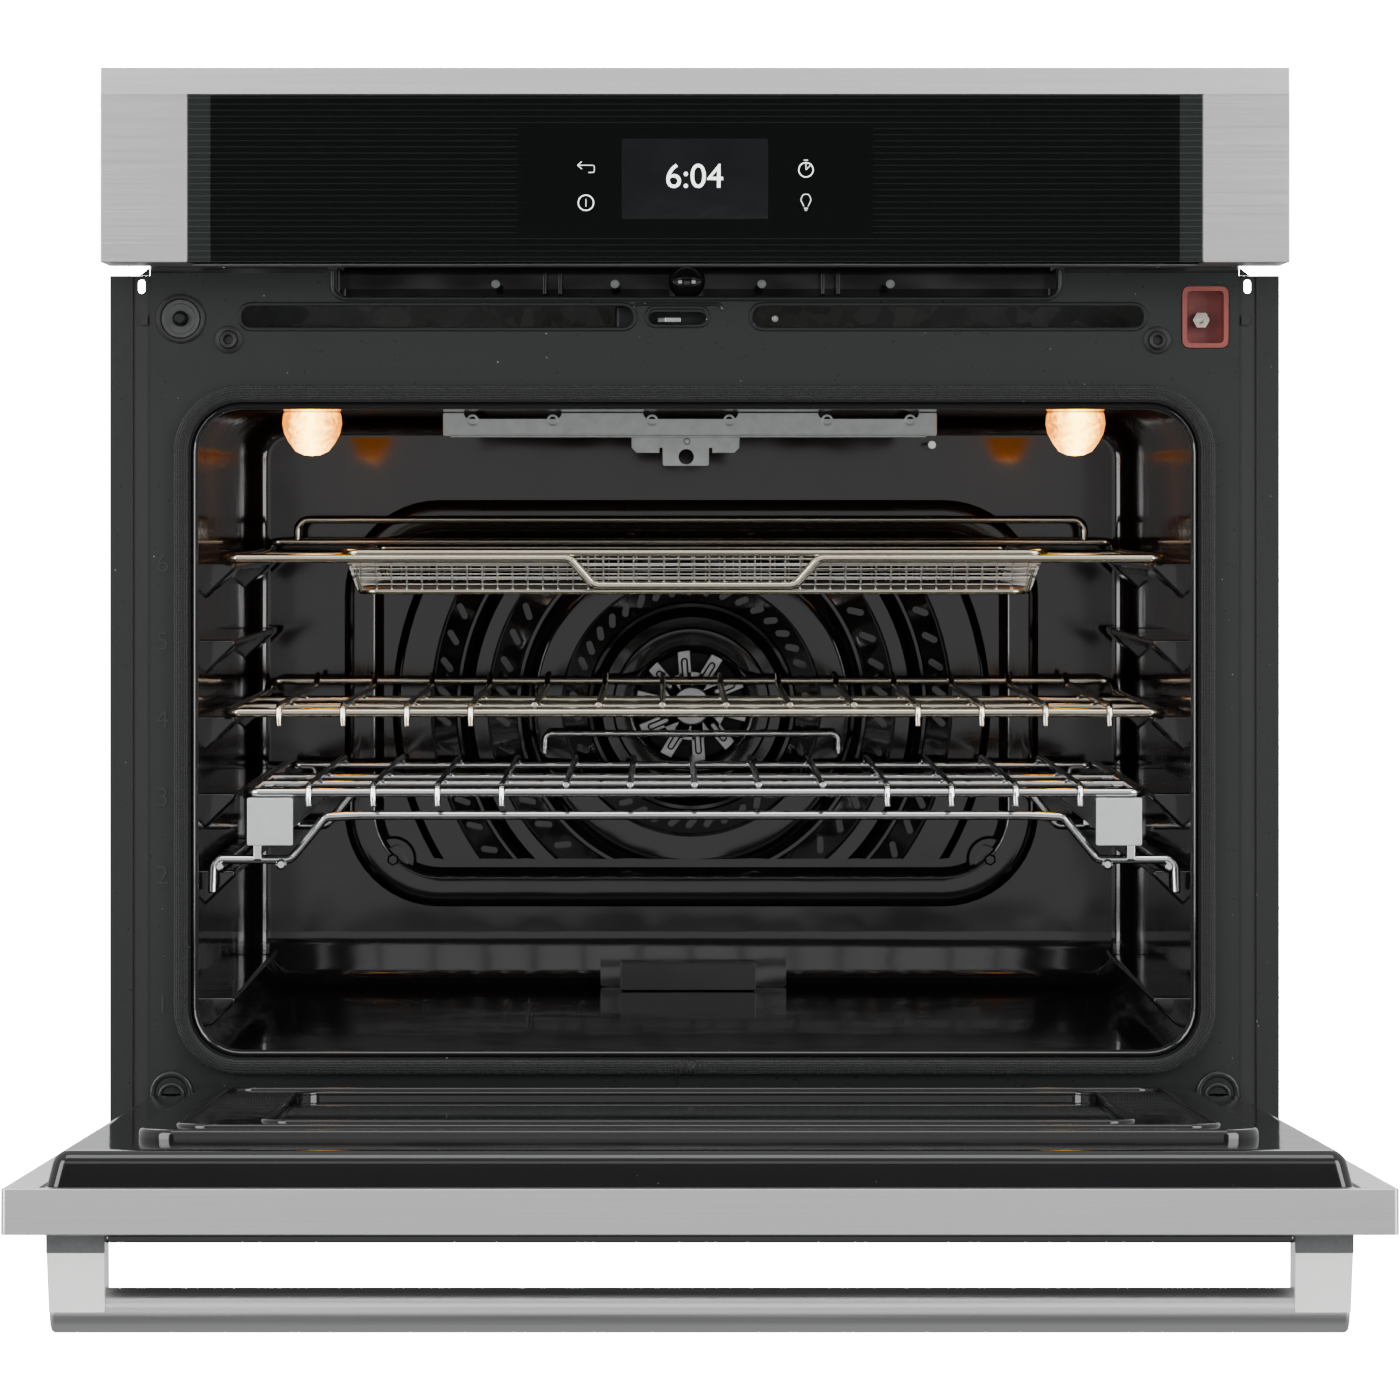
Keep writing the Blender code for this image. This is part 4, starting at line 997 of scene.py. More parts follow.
def corner_clamp(side):
    """A tilted square washer with a bolt head, in each lower corner of the dish."""
    washer = plate((-9, 9), (438.5, 442), (-9, 9), "y", 3, 0.8, 3)
    bolt = turned([(0, 433), (3.2, 433), (4.6, 434.6), (4.6, 439), (0, 439)], steps=6)
    collar = turned([(0, 440), (15, 440), (17, 442), (17, 446), (0, 446)], steps=24)
    clamp = joined(washer, bolt, collar)
    bmesh.ops.rotate(clamp, verts=clamp.verts, cent=(0, 0, 0),
                     matrix=Matrix.Rotation(radians(side * 24), 3, "Y"))
    bmesh.ops.translate(clamp, verts=clamp.verts, vec=(side * 219, 0, 196))
    return clamp


place("fan_cover_pressed", joined(fan_dish(), fan_disc(), corner_clamp(-1), corner_clamp(1)),
      "black_enamel", stands_for=("fan_cover",))

# %% [markdown]
# The fan is stamped from one sheet: a hub with ten arms, each stiffened by a pressed rib, and its
# edges folded back into paddles that throw the air outwards.

# %% Convection fan
BLADES = 10


def round_blades(*shapes):
    """Repeat shapes round the axis, once for each blade, swept back a little."""
    ring = []
    blade = joined(*shapes)
    bmesh.ops.rotate(blade, verts=blade.verts, cent=(12, 0, 0),
                     matrix=Matrix.Rotation(radians(14), 3, "Y"))
    for number in range(BLADES):
        copy = blade.copy()
        bmesh.ops.rotate(copy, verts=copy.verts, cent=(0, 0, 0),
                         matrix=Matrix.Rotation(2 * pi * number / BLADES, 3, "Y"))
        ring.append(copy)
    blade.free()
    return joined(*ring)


arms = round_blades(plate((10, 66), (441, 442.2), (-4.5, 4.5), "y", 2, 0.2, 4, 1),
                    plate((20, 35), (440.3, 441.2), (-1.5, 1.5), "y", 1.45, 0.3, 4, 1),
                    plate((22, 66), (441.4, 453), (-4.5, -3.6), "z", 0.4, 0.2, 1, 1))
hub = turned([(0, 439.4), (13.2, 439.4), (13.2, 441), (25, 441), (25, 442.2), (4, 442.4),
              (4, 516), (0, 516)], steps=32)
fan = joined(hub, arms)
bmesh.ops.translate(fan, verts=fan.verts, vec=(0, 0, FAN_Z))
place("convection_fan_stamped", fan, "fan_steel", "convection_fan", ("convection_fan",))
# Dark rings round each pressed rib and at the hub's step are painted shade in the creases; behind the
# blades stands a dark disc.
crease_shade = round_blades(plate((18.9, 36.1), (440.7, 441.1), (-2.6, 2.6), "y", 2.5, 0.1, 4, 1))
hub_step_shade = turned([(13.2, 440.6), (14.4, 440.6), (14.4, 441.2), (13.2, 441.2)], steps=32, closed=True)
back_disc = turned([(4, 453), (69, 453), (70, 454), (69, 454.6), (4, 454.6)], steps=48, closed=True)
shadow = joined(crease_shade, hub_step_shade, back_disc)
bmesh.ops.translate(shadow, verts=shadow.verts, vec=(0, 0, FAN_Z))
place("fan_disc_and_crease_shade", shadow, "motor_steel", "convection_fan")

# %% [markdown]
# ## Racks
# All racks are bent wire, welded where wires cross. The outline is one closed wire. Thinner wires
# run from front to rear on two cross rails; the outer ones hook down over the front wire.

# %% The plain middle rack
RACK_HALF = 308.0
FRONT_Y, REAR_Y = 33.0, 420.0
WIRE_PITCH = 42.0
HOOKED = 4


def deck_wire(x, z, front, rear, hooked, rise):
    """One front-to-rear wire; its rear end climbs with the rear wire."""
    run = [(x, rear - 26, z + 4.9), (x, rear + 1, z + 4.4 + rise)]
    if hooked:
        nose = [(x, front - 5.4, z - 9), (x, front - 5.4, z + 4.9)]
    else:
        nose = [(x, front - 3, z + 4.9)]
    return bent_wire(nose + run, 2.2, 4.2, 10, arc_steps=4)


def rack_outline(half, front, rear, z, rise):
    corners = [(half, rear - 24, z), (half, front, z), (-half, front, z), (-half, rear - 24, z),
               (-half, rear, z + rise), (half, rear, z + rise)]
    return bent_wire(corners, 3.0, 9.0, 14, closed=True)


def deck(half, front, rear, z, places, rails, rise):
    last = len(places) - HOOKED
    wires = [deck_wire(x, z, front, rear, i < HOOKED or i >= last, rise)
             for i, x in enumerate(places)]
    bars = [bent_wire([(-half + 2, y, z - 0.4), (half - 2, y, z - 0.4)], 2.6, sides=12)
            for y in rails]
    return [rack_outline(half, front, rear, z, rise), *wires, *bars]


WIRE_LIFT = 3.3
middle_z = LEVELS[3] + WIRE_LIFT
middle_places = [WIRE_PITCH * (i + 0.5) for i in range(-7, 7)]
place("middle_rack_wires", joined(*deck(RACK_HALF, FRONT_Y, REAR_Y, middle_z, middle_places,
                                        (155, 278), 8)), "rack_wire", "middle_rack", ("middle_rack",))

# %% [markdown]
# The upper rack is only a frame: it dips at the front so that the tray can be gripped, and its
# rear rises as a stop. The tray that it carries is woven wire cloth on two round wires.

# %% The upper rack and its tray
GRIP_HALF, GRIP_DIP = 82.0, 18.0
STOP_HALF, STOP_RISE = 288.0, 24.0
REAR_RISE = 8.0
upper_z = LEVELS[5] + WIRE_LIFT
right_side = [(RACK_HALF, REAR_Y, upper_z + REAR_RISE), (RACK_HALF, REAR_Y - 24, upper_z),
              (RACK_HALF, FRONT_Y, upper_z), (GRIP_HALF, FRONT_Y, upper_z),
              (GRIP_HALF - 16, FRONT_Y, upper_z - GRIP_DIP)]
left_side = [(-x, y, z) for x, y, z in reversed(right_side)]
upper = bent_wire([*right_side[2:], *left_side, *right_side[:2]], 3.0, 8.0, 14, closed=True)
rear_stop = bent_wire([(-STOP_HALF, REAR_Y, upper_z + REAR_RISE),
                       (-STOP_HALF, REAR_Y, upper_z + STOP_RISE),
                       (STOP_HALF - 1, REAR_Y, upper_z + STOP_RISE),
                       (STOP_HALF - 1, REAR_Y, upper_z + REAR_RISE)], 2.8, 8.0, 12)
upper_bar = bent_wire([(-RACK_HALF + 2, 385, upper_z - 0.4), (RACK_HALF - 2, 385, upper_z - 0.4)],
                      2.6, sides=12)
place("air_fry_rack_wires", joined(upper, upper_bar, rear_stop), "rack_wire", "air_fry_rack",
      ("air_fry_rack",))

RIM_Z = upper_z + 3.3
TRAY_DEPTH = 24.0
MESH_PITCH = 10.0
FINE_PITCH = 2.5
FINE_ROWS = 7
TRAY_HALF, TRAY_FRONT, TRAY_REAR = 231.0, 33.0, 388.0
FOOT_HALF, FOOT_FRONT, FOOT_REAR = 223.0, 52.0, 372.0


FOOT_Z = RIM_Z - TRAY_DEPTH
CLOTH_WIRE = 0.65


def tray_wire(lengthwise, offset):
    """One wire of the cloth: down one wall, along the bottom and up the other wall."""
    if lengthwise:
        path = [(offset, TRAY_FRONT, RIM_Z), (offset, FOOT_FRONT, FOOT_Z),
                (offset, FOOT_REAR, FOOT_Z), (offset, TRAY_REAR, RIM_Z)]
    else:
        path = [(-TRAY_HALF, offset, RIM_Z), (-FOOT_HALF, offset, FOOT_Z),
                (FOOT_HALF, offset, FOOT_Z), (TRAY_HALF, offset, RIM_Z)]
    return bent_wire(path, CLOTH_WIRE, 3.0, 6, arc_steps=2)


def tray_level(share):
    """Half width, front, rear and height of the sloping walls, between foot (0) and rim (1)."""
    return (FOOT_HALF + (TRAY_HALF - FOOT_HALF) * share, FOOT_FRONT + (TRAY_FRONT - FOOT_FRONT) * share,
            FOOT_REAR + (TRAY_REAR - FOOT_REAR) * share, RIM_Z - TRAY_DEPTH * (1 - share))


def tray_loop(half, front, rear, z, radius, bend):
    corners = [(half, rear, z), (half, front, z), (-half, front, z), (-half, rear, z)]
    return bent_wire(corners, radius, bend, 12, closed=True)


cloth = [tray_wire(True, MESH_PITCH * i) for i in range(-22, 23)]
cloth += [tray_wire(False, FOOT_FRONT + 5 + MESH_PITCH * i) for i in range(32)]
cloth += [tray_loop(*tray_level(share), CLOTH_WIRE, 6) for share in (0.33, 0.67)]
fine = [bent_wire([(-FOOT_HALF, y, FOOT_Z - 0.2), (FOOT_HALF, y, FOOT_Z - 0.2)], 0.5, sides=4)
        for y in (FOOT_FRONT + FINE_PITCH * i for i in range(128))]
for row in range(FINE_ROWS):
    half, front, _, z = tray_level(row / FINE_ROWS)
    fine.append(bent_wire([(-half, front + 0.4, z), (half, front + 0.4, z)], 0.35, sides=6))
place("tray_cloth", joined(*cloth, *fine), "mesh_wire", "air_fry_rack", ("air_fry_basket",))
rims = [tray_loop(TRAY_HALF, TRAY_FRONT, TRAY_REAR, RIM_Z + 0.4, 2.3, 11),
        tray_loop(FOOT_HALF - 2, FOOT_FRONT + 2, FOOT_REAR - 2, FOOT_Z - 1.4, 2.0, 12)]
rims += [bent_wire([(side * (TRAY_HALF - 5), y, RIM_Z), (side * (FOOT_HALF - 3), y + run, FOOT_Z - 1)],
                   1.6) for side in (-1, 1) for y, run in ((TRAY_FRONT + 6, 12), (TRAY_REAR - 6, -10))]
place("tray_rims", joined(*rims), "rack_wire", "air_fry_rack")

# %% [markdown]
# The lowest rack rides on telescopic slides. The deck and the inner members pull out all the way,
# the middle members half way, and the carrier stays hooked in the cavity.

# %% The glide rack
GLIDE_HALF, GLIDE_FRONT, GLIDE_REAR = 293.0, 12.0, 412.0
GLIDE_Z = 268.5
glide_places = [WIRE_PITCH * i for i in range(-6, 7)]
stop_loop = bent_wire([(-107, GLIDE_REAR, GLIDE_Z + 6), (-107, GLIDE_REAR, GLIDE_Z + 21),
                       (107, GLIDE_REAR, GLIDE_Z + 21), (107, GLIDE_REAR, GLIDE_Z + 6)], 2.5, 5)
glide = deck(GLIDE_HALF, GLIDE_FRONT, GLIDE_REAR, GLIDE_Z, glide_places, (128, 216), -2)
place("glide_rack_wires", joined(*glide, stop_loop), "chrome_wire", "glide_rack", ("glide_rack",))


def inner_member(side):
    """The pulled-out member: a folded channel behind a square end plate."""
    inside, outside = sorted((side * 268, side * 276))
    web = plate((inside, outside), (10.6, 400), (240, 262), "x", 1, 0.8)
    lips = [plate((inside - 1, outside + 1), (14, 398), (z, z + 2), "z", 0.8, 0.5, 2, 1)
            for z in (241, 259)]
    hooks = [bent_wire([(side * 271, y, 261), (side * 271, y, 268), (side * 281, y, 268)], 1.6, 3)
             for y in (60, 350)]
    return joined(web, *lips, *hooks)


def end_plate(side):
    x = sorted((side * 262.5, side * 292.5))
    return plate(x, (8, 11.4), (234, 265.2), "y", 1.2, 0.6, 3, 2)


tie = bent_wire([(-270, 392, 259), (270, 392, 259)], 2.4)
place("glide_members", joined(inner_member(-1), inner_member(1), tie), "zinc_steel", "glide_rack",
      ("glide_rails",))
place("glide_end_plates", joined(end_plate(-1), end_plate(1)), "end_plate_steel", "glide_rack")

# %% [markdown]
# The carrier is two arched cross wires with feet on the ledges, joined by the outer channels. The
# arches pass under the deck and hold the slides at its height.

# %% The glide carrier
CARRIER_Z = LEVELS[1] + WIRE_LIFT


def carrier_cross(y, foot_y):
    half = [(317, y, 223), (266, y, 223), (243, y, 251), (220, y, 252)]
    if foot_y:
        half = [(317.4, foot_y, LEVELS[1] - 14)] + half
    route = [(-x, b, z) for x, b, z in half] + [(x, b, z) for x, b, z in reversed(half)]
    return bent_wire(route, 3.0, 6.0, 14)


def carrier_side(side):
    x = sorted((side * 284, side * 291))
    channel = plate(x, (16, 414), (238, 262), "x", 1.5, 0.8)
    tabs = [plate((x[0] + 1, x[1] - 1), (y - 6, y + 6), (222, 240), "x", 2, 0.5) for y in (38, 404)]
    runner = bent_wire([(side * 313, 34, CARRIER_Z), (side * 313, 408, CARRIER_Z)], 3.0)
    rivet = turned([(0, -2.6), (2.2, -2.6), (3.6, -1.2), (3.6, 1), (0, 1)],
                   (side * 272, 33.5, 220), steps=16)
    return [channel, *tabs, runner, rivet]


carrier = joined(carrier_cross(38, 35), carrier_cross(404, 0), *carrier_side(-1), *carrier_side(1))
place("glide_carrier_wires", carrier, "chrome_wire", stands_for=("glide_carrier",))
for side in ("left", "right"):
    soften_node("slide_member_" + side, 1.0)

# %% [markdown]
# ## At the ceiling
# The broil shield is zinc-plated sheet: a plate with a lip, three long notches at the top, and a
# bracket below it that carries the heater. The notches are cut with capsules.

# %% Broil shield
shield_low, shield_high = mm_box("broil_shield")


def shield_plate():
    left, right = shield_low.x, shield_high.x
    face = plate((left, right), (118, 120), (503, shield_high.z), "y", 1, 0.3, 2, 1)
    notches = [plate((a, b), (110, 130), (514.5, 525), "y", 4, 0.1, 5, 1)
               for a, b in ((left + 14, left + 80), (-34, 30), (right - 80, right - 12))]
    face = boolean(face, joined(*notches))
    lip = plate((left + 5, right - 7), (116.6, 130), (502, 503.6), "y", 0.6, 0.3, 2, 1)
    ears = [turned([(2.6, 117.4), (4, 117.2), (4, 118.4), (2.6, 118.4)], (x, 0, 513.5), steps=20,
                   closed=True) for x in (left + 20, left + 74, -28, 24, right - 74, right - 18)]
    return [face, lip, *ears]


def shield_bracket():
    outline = [(-42, 502.5), (-42, 495), (-38.5, 491.5), (-23, 491.5), (-23, 495), (-21, 495),
               (-21, 483.6), (-20, 482.8), (9.5, 482.8), (10.5, 483.6), (10.5, 495), (12.5, 495),
               (12.5, 491.5), (27.5, 491.5), (31, 495), (31, 502.5)]
    plate_shape = round_edges(prism(outline, (118.2, 119.8)), 0.3, 1)
    hole = turned([(0, 110), (5.2, 110), (5.2, 130), (0, 130)], (-5, 0, 489), steps=24)
    rivet = turned([(0, 116.8), (1.6, 116.9), (2.4, 118), (2.4, 119), (0, 119)], (-4.5, 0, 499.4),
                   steps=14)
    return [boolean(plate_shape, hole), rivet]


place("broil_shield_plate", joined(*shield_plate(), *shield_bracket()), "zinc_steel",
      stands_for=("broil_shield",))

# %% [markdown]
# Each lamp shines through a thick pressed lens. A small warm light below each lens lights the
# cavity as the filament does.

# %% Lamps
LAMP_POWER = 1.3


def lens_shape(x):
    """A dome whose rings are turned by half a facet, one against the next."""
    steps = 12
    profile = [(0, -29.5), (5.5, -29), (11, -26.5), (15.5, -21), (18.8, -14.5), (20.4, -8),
               (19.6, -3), (19.2, -0.6), (0, -0.6)]
    lens = turned(profile, axis="z", steps=steps)
    heights = [t for _, t in profile]
    for vert in lens.verts:
        ring = min(range(len(heights)), key=lambda i: abs(heights[i] - vert.co.z))
        if ring % 2:
            vert.co.rotate(Matrix.Rotation(pi / steps, 3, "Z"))
    bmesh.ops.triangulate(lens, faces=lens.faces)
    bmesh.ops.translate(lens, verts=lens.verts, vec=(x, LAMP_Y, CAVITY_HIGH))
    return lens


for side, name in ((-1, "left"), (1, "right")):
    x = side * LAMP_X
    place("lamp_lens_" + name, lens_shape(x), "lamp_glass", stands_for=("lamp_" + name,), crease=8)
    glow = bpy.data.lights.new("glow_" + name, "POINT")
    glow.energy = LAMP_POWER
    glow.color = srgb("#ff8a2a")[:3]
    glow.shadow_soft_size = 0.016
    source = bpy.data.objects.new("glow_" + name, glow)
    source.location = Vector((x, LAMP_Y, CAVITY_HIGH - 48)) * MM
    source.visible_glossy = False
    bpy.context.scene.collection.objects.link(source)

# %% [markdown]
# ## The front frame
# The front is one enamelled sheet. Around each air slot the metal is drawn into a round lip, and
# level numbers are stamped beside the opening.

# %% Front frame
FACE = mm_box("front_frame")[0].y
SLOT_LEVEL = 579.3


def slot_lip(centre_x, half, half_height, radius=1.5):
    corners = [(centre_x + half, FACE, SLOT_LEVEL - half_height),
               (centre_x + half, FACE, SLOT_LEVEL + half_height),
               (centre_x - half, FACE, SLOT_LEVEL + half_height),
               (centre_x - half, FACE, SLOT_LEVEL - half_height)]
    return bent_wire(corners, radius, half_height - 0.2, 10, closed=True)


def hinge_arch(side):
    """The domed cover pressed over each hinge slot, with a second ridge inside it."""
    x = side * 341
    arches = []
    for half, top, radius in ((12.5, 86, 2.2), (7.6, 79, 1.6)):
        arches.append(bent_wire([(x - half, FACE, 54), (x - half, FACE, top),
                                 (x + half, FACE, top), (x + half, FACE, 54)],
                                radius, half - 0.3, 12))
    return arches


lips = [slot_lip(-167.6, 129, 8.1), slot_lip(165.2, 128.7, 8.1), slot_lip(-11.2, 20, 6)]
trough_lip = bent_wire([(-236, FACE, 610), (-236, FACE, 591), (238, FACE, 591), (238, FACE, 610)],
                       1.7, 9, 12)
latch_arc = bent_wire([(-40, FACE, 583), (-40, FACE, 587.5), (18, FACE, 587.5), (18, FACE, 583)],
                      1.3, 4, 10)
digits = [lettering(str(i + 1), 17.5, 1.2, (-346.6, FACE - 0.1, level))
          for i, level in enumerate(LEVELS)]
soften_node("front_frame", 0.7, 2, 30,
            (*lips, trough_lip, latch_arc, *hinge_arch(-1), *hinge_arch(1)))
place("level_digits", joined(*digits), "black_enamel")

# %% [markdown]
# Beside the front sheet, each flange has a sunk channel with the screw holes in it; its floor is a
# black strip, the painted shade of a deep recess. Above the sheet, black strips paint the shade in the
# joint under the panel, and a black plate closes the back of the duct.

# %% Flanges and painted shade in the joints
flange_low, flange_high = mm_box("flange_right")
CHANNEL_SIDE = 366.0
SCREW_X = 360.4
SCREW_LEVELS = (60, 599)


def flange(side):
    return plate(sorted((side * CHANNEL_SIDE, side * flange_high.x)), (flange_low.y, flange_high.y),
                 (flange_low.z, flange_high.z), "y", 0.8, 0.5, 3, 2)


def channel(side):
    # The channel's floor strip, tab and gusset are black rubber: painted shade of a deep recess.
    x = sorted((side * (flange_low.x - 0.6), side * (CHANNEL_SIDE + 0.3)))
    strip = block(x, (flange_high.y - 1.0, flange_high.y), (flange_low.z, flange_high.z))
    holes = [plate((side * SCREW_X - 2.3, side * SCREW_X + 2.3), (-5, 5), (level - 4.5, level + 4.5),
                   "y", 2.2, 0.1, 5, 1) for level in SCREW_LEVELS]
    strip = boolean(strip, joined(*holes))
    tab = block(sorted((side * 356.4, side * 361.5)), (flange_low.y, -0.5), (574, 580))
    gusset = prism([(side * 355, 611.4), (side * 361.7, 606), (side * 355, 606)],
                   (flange_low.y, flange_low.y + 1.5))
    return joined(strip, tab, gusset)


for side, name in ((-1, "left"), (1, "right")):
    place("flange_plate_" + name, flange(side), "charcoal_enamel", stands_for=("flange_" + name,))
    place("flange_channel_shade_" + name, channel(side), "black_rubber")
# Black strips under the panel and along the joint are painted shade; the last block is the duct's back
# wall.
under_panel_shade = block((-350, 350), (FACE - 1.6, FACE - 0.1), (611.6, 616))
joint_shade_left = block((-353.5, -239), (FACE - 0.2, FACE + 1), (607.6, 611.4))
joint_shade_right = block((241, 353.5), (FACE - 0.2, FACE + 1), (607.6, 611.4))
duct_back = block((-232, 236), (56.5, 58), (600, 632))
place("shade_strips_and_duct_back", joined(under_panel_shade, joint_shade_left, joint_shade_right, duct_back), "black_enamel")

# %% [markdown]
# The gasket is a soft knitted tube clipped round the opening. Its two ends meet at the bottom,
# where a few stitches tie them.

# %% Door gasket
gasket_low, gasket_high = mm_box("door_gasket")
GASKET_WIDTH = 9.7
gasket_half = gasket_high.x - GASKET_WIDTH / 2
gasket_y = (gasket_low.y + gasket_high.y) / 2
gasket_bottom = gasket_low.z + GASKET_WIDTH / 2
gasket_top = gasket_high.z - GASKET_WIDTH / 2
gasket = bent_wire([(gasket_half, gasket_y, gasket_bottom), (gasket_half, gasket_y, gasket_top),
                    (-gasket_half, gasket_y, gasket_top), (-gasket_half, gasket_y, gasket_bottom)],
                   GASKET_WIDTH / 2 - 0.1, 38.6, 24, closed=True, arc_steps=16)
place("gasket_tube", gasket, "braided_gasket", stands_for=("door_gasket",), crease=60)
SPLICE_X = -4.0
STITCH_PITCH = 3.4


def stitch(number):
    """One loop of thread round the tube; the loops fan out from the middle one."""
    loop = turned([(4.5, -0.5), (4.93, -0.35), (4.93, 0.35), (4.5, 0.5)], axis="x", steps=20,
                  closed=True)
    bmesh.ops.rotate(loop, verts=loop.verts, cent=(0, 0, 0),
                     matrix=Matrix.Rotation(radians(10 * number), 3, "Y"))
    bmesh.ops.translate(loop, verts=loop.verts,
                        vec=(SPLICE_X + STITCH_PITCH * number, gasket_y, gasket_bottom))
    return loop


place("gasket_stitches", joined(*[stitch(i) for i in range(-3, 4)]), "black_rubber", crease=60)

# %% [markdown]
# Small fittings sit in the frame: the door switch behind its round cap, two rubber buffers, the
# socket of the meat probe in its red housing, and screws.

# %% Switch, buffers, probe socket and screws
switch_low, switch_high = mm_box("switch_bezel")
switch_mid = (switch_low + switch_high) / 2
bezel = turned([(12.9, -3.6), (13.2, -4.6), (14.6, -4.9), (16, -4.2), (16, 8), (12.9, 8)],
               (switch_mid.x, 0, switch_mid.z), steps=48, closed=True)
place("switch_ring", bezel, "black_rubber", stands_for=("switch_bezel",))
cap = turned([(4.7, -3.9), (5.3, -4.4), (9.5, -4.7), (10, -4.3), (12.2, -4.4), (12.7, -3.8),
              (12.7, 6), (4.7, 6)], (switch_mid.x, 0, switch_mid.z), steps=48, closed=True)
place("switch_cap", cap, "sensor_cap")
soften_node("switch_plunger", 0.3)


def buffer_shape(x, z):
    return turned([(0, -5.2), (2.6, -5.2), (3.2, -8.4), (5.2, -8.9), (5.9, -8.2), (6.2, -5),
                   (8.3, -4.6), (9.1, -3.9), (9.1, -2), (0, -2)], (x, 0, z), steps=36)


place("rubber_buffers", joined(buffer_shape(-303.5, 564.3), buffer_shape(301.4, 563.9)),
      "black_rubber")
soften_node("probe_housing", 0.9, 3)
soften_node("probe_jack", 0.5, 2, 20)


def hex_screw(place_at, outward, size=1.0):
    """A washer-head screw; outward is the axis letter with its sign."""
    head = turned([(0, 2.8), (2.5, 2.8), (3.1, 2.2), (3.1, 0.7), (0, 0.7)], axis="z", steps=6)
    washer = turned([(0, 1.0), (4.2, 1.0), (4.8, 0.5), (4.8, -0.5), (0, -0.5)], axis="z", steps=16)
    screw = joined(head, washer)
    bmesh.ops.scale(screw, verts=screw.verts, vec=(size, size, size))
    way = Vector({"x": (1, 0, 0), "y": (0, 1, 0), "z": (0, 0, 1)}[outward[1]])
    way = way if outward[0] == "+" else -way
    bmesh.ops.transform(screw, verts=screw.verts, matrix=Matrix.Translation(place_at)
                        @ way.to_track_quat("Z", "Y").to_matrix().to_4x4())
    return screw


place("frame_screws", joined(hex_screw((52.5, FACE + 2, 578), "-y", 0.45),
                             *[hex_screw((x, 8, 601), "-y", 0.6) for x in (-130, -52, 44, 128)]),
      "zinc_steel")

# %% [markdown]
# Behind the air slots runs the duct of the cooling blower. Folded straps divide it, and the door
# latch hangs in the middle.

# %% Duct and latch
straps = [plate((x - 1, x + 1), (12, 50), (593, 610), "x", 2, 0.4) for x in (-98, -88, 84, 94)]
boss = turned([(0, 8), (9, 8), (12, 14), (12, 50), (0, 50)], (-5, 0, 603), steps=28)
soften_node("vent_duct", 0.5, extra=(*straps, boss), finish="black_enamel")
soften_node("latch_motor", 3.0, 3)
soften_node("latch_bolt", 0.4)

# %% [markdown]
# ## Control panel
# A folded steel surround holds the touch glass, and above the glass it leans back a little.
# Symbols are printed behind the glass; here they are thin raised lines, so that they are real
# shapes in every view.

# %% Panel surround, glass and display
PANEL_FOLD = 720.0
FOLD_LEAN = 0.09
FLAT_CREASE = 3
crown = softened("panel_frame", 0.9, 3)
bmesh.ops.bisect_plane(crown, geom=crown.verts[:] + crown.edges[:] + crown.faces[:],
                       plane_co=(0, 0, PANEL_FOLD), plane_no=(0, 0, 1))
for vert in crown.verts:
    if vert.co.z > PANEL_FOLD and vert.co.y < -60:
        vert.co.y += (vert.co.z - PANEL_FOLD) * FOLD_LEAN
place("panel_surround", crown, "brushed_stainless", stands_for=("panel_frame",),
      crease=FLAT_CREASE)
glass_low, glass_high = mm_box("panel_glass")
place("panel_glass_striped", plate((glass_low.x, glass_high.x), (glass_low.y, glass_high.y),
                                   (glass_low.z, glass_high.z), "y", 1.2, 0.5, 3, 2),
      "striped_glass", stands_for=("panel_glass",))
GLASS_FACE = glass_low.y
DISPLAY_Z = 665.5
place("display_window", plate((-46.8, 46.7), (GLASS_FACE - 0.1, GLASS_FACE + 0.6),
                              (DISPLAY_Z - 25.7, DISPLAY_Z + 25.7), "y", 0.6, 0.05, 2, 1),
      "display_screen")
place("display_time", lettering("6:04", 22, 0.1, (-0.4, GLASS_FACE - 0.12, DISPLAY_Z + 1)),
      "printed_light")

# %% Printed symbols
LINE = 0.32


def symbol_ring(centre, radius):
    profile = [(radius - LINE, -0.05), (radius - LINE, -0.15), (radius + LINE, -0.15),
               (radius + LINE, -0.05)]
    return turned(profile, (centre[0], GLASS_FACE, centre[1]), steps=32, closed=True)


def symbol_line(centre, *points, bend=1.0):
    path = [(centre[0] + u, GLASS_FACE - 0.02, centre[1] + v) for u, v in points]
    return bent_wire(path, LINE * 0.6, bend, 6, arc_steps=3)


back, power, timer, bulb = (-69.9, 672.6), (-69.9, 650.2), (71.0, 671.3), (71.0, 650.6)
symbols = [symbol_line(back, (-5.4, 1.6), (5.4, 1.6), (5.4, -3), (1.5, -3)),
           symbol_line(back, (-2.6, 4), (-5.4, 1.6), (-2.6, -0.8), bend=0.2),
           symbol_ring(power, 4.9), symbol_line(power, (0, -2.4), (0, 2.4)),
           symbol_ring(timer, 4.6), symbol_line(timer, (-1.4, 6.2), (1.4, 6.2)),
           symbol_line(timer, (0, 0), (0, 4.4)), symbol_line(timer, (0, 0), (3.1, 3.1)),
           symbol_line(bulb, (-1.4, -2.6), (-3.4, 1.6), (-1.8, 5), (1.8, 5), (3.4, 1.6),
                       (1.4, -2.6), bend=1.4),
           symbol_line(bulb, (-1.3, -3.9), (1.3, -3.9)),
           symbol_line(bulb, (-0.8, -5.1), (0.8, -5.1))]
place("printed_symbols", joined(*symbols), "printed_light")

# %% [markdown]
# ## The door
# The door's shapes are easiest to think of with the door shut, so they are made that way and then
# turned about the hinge pin with one matrix.

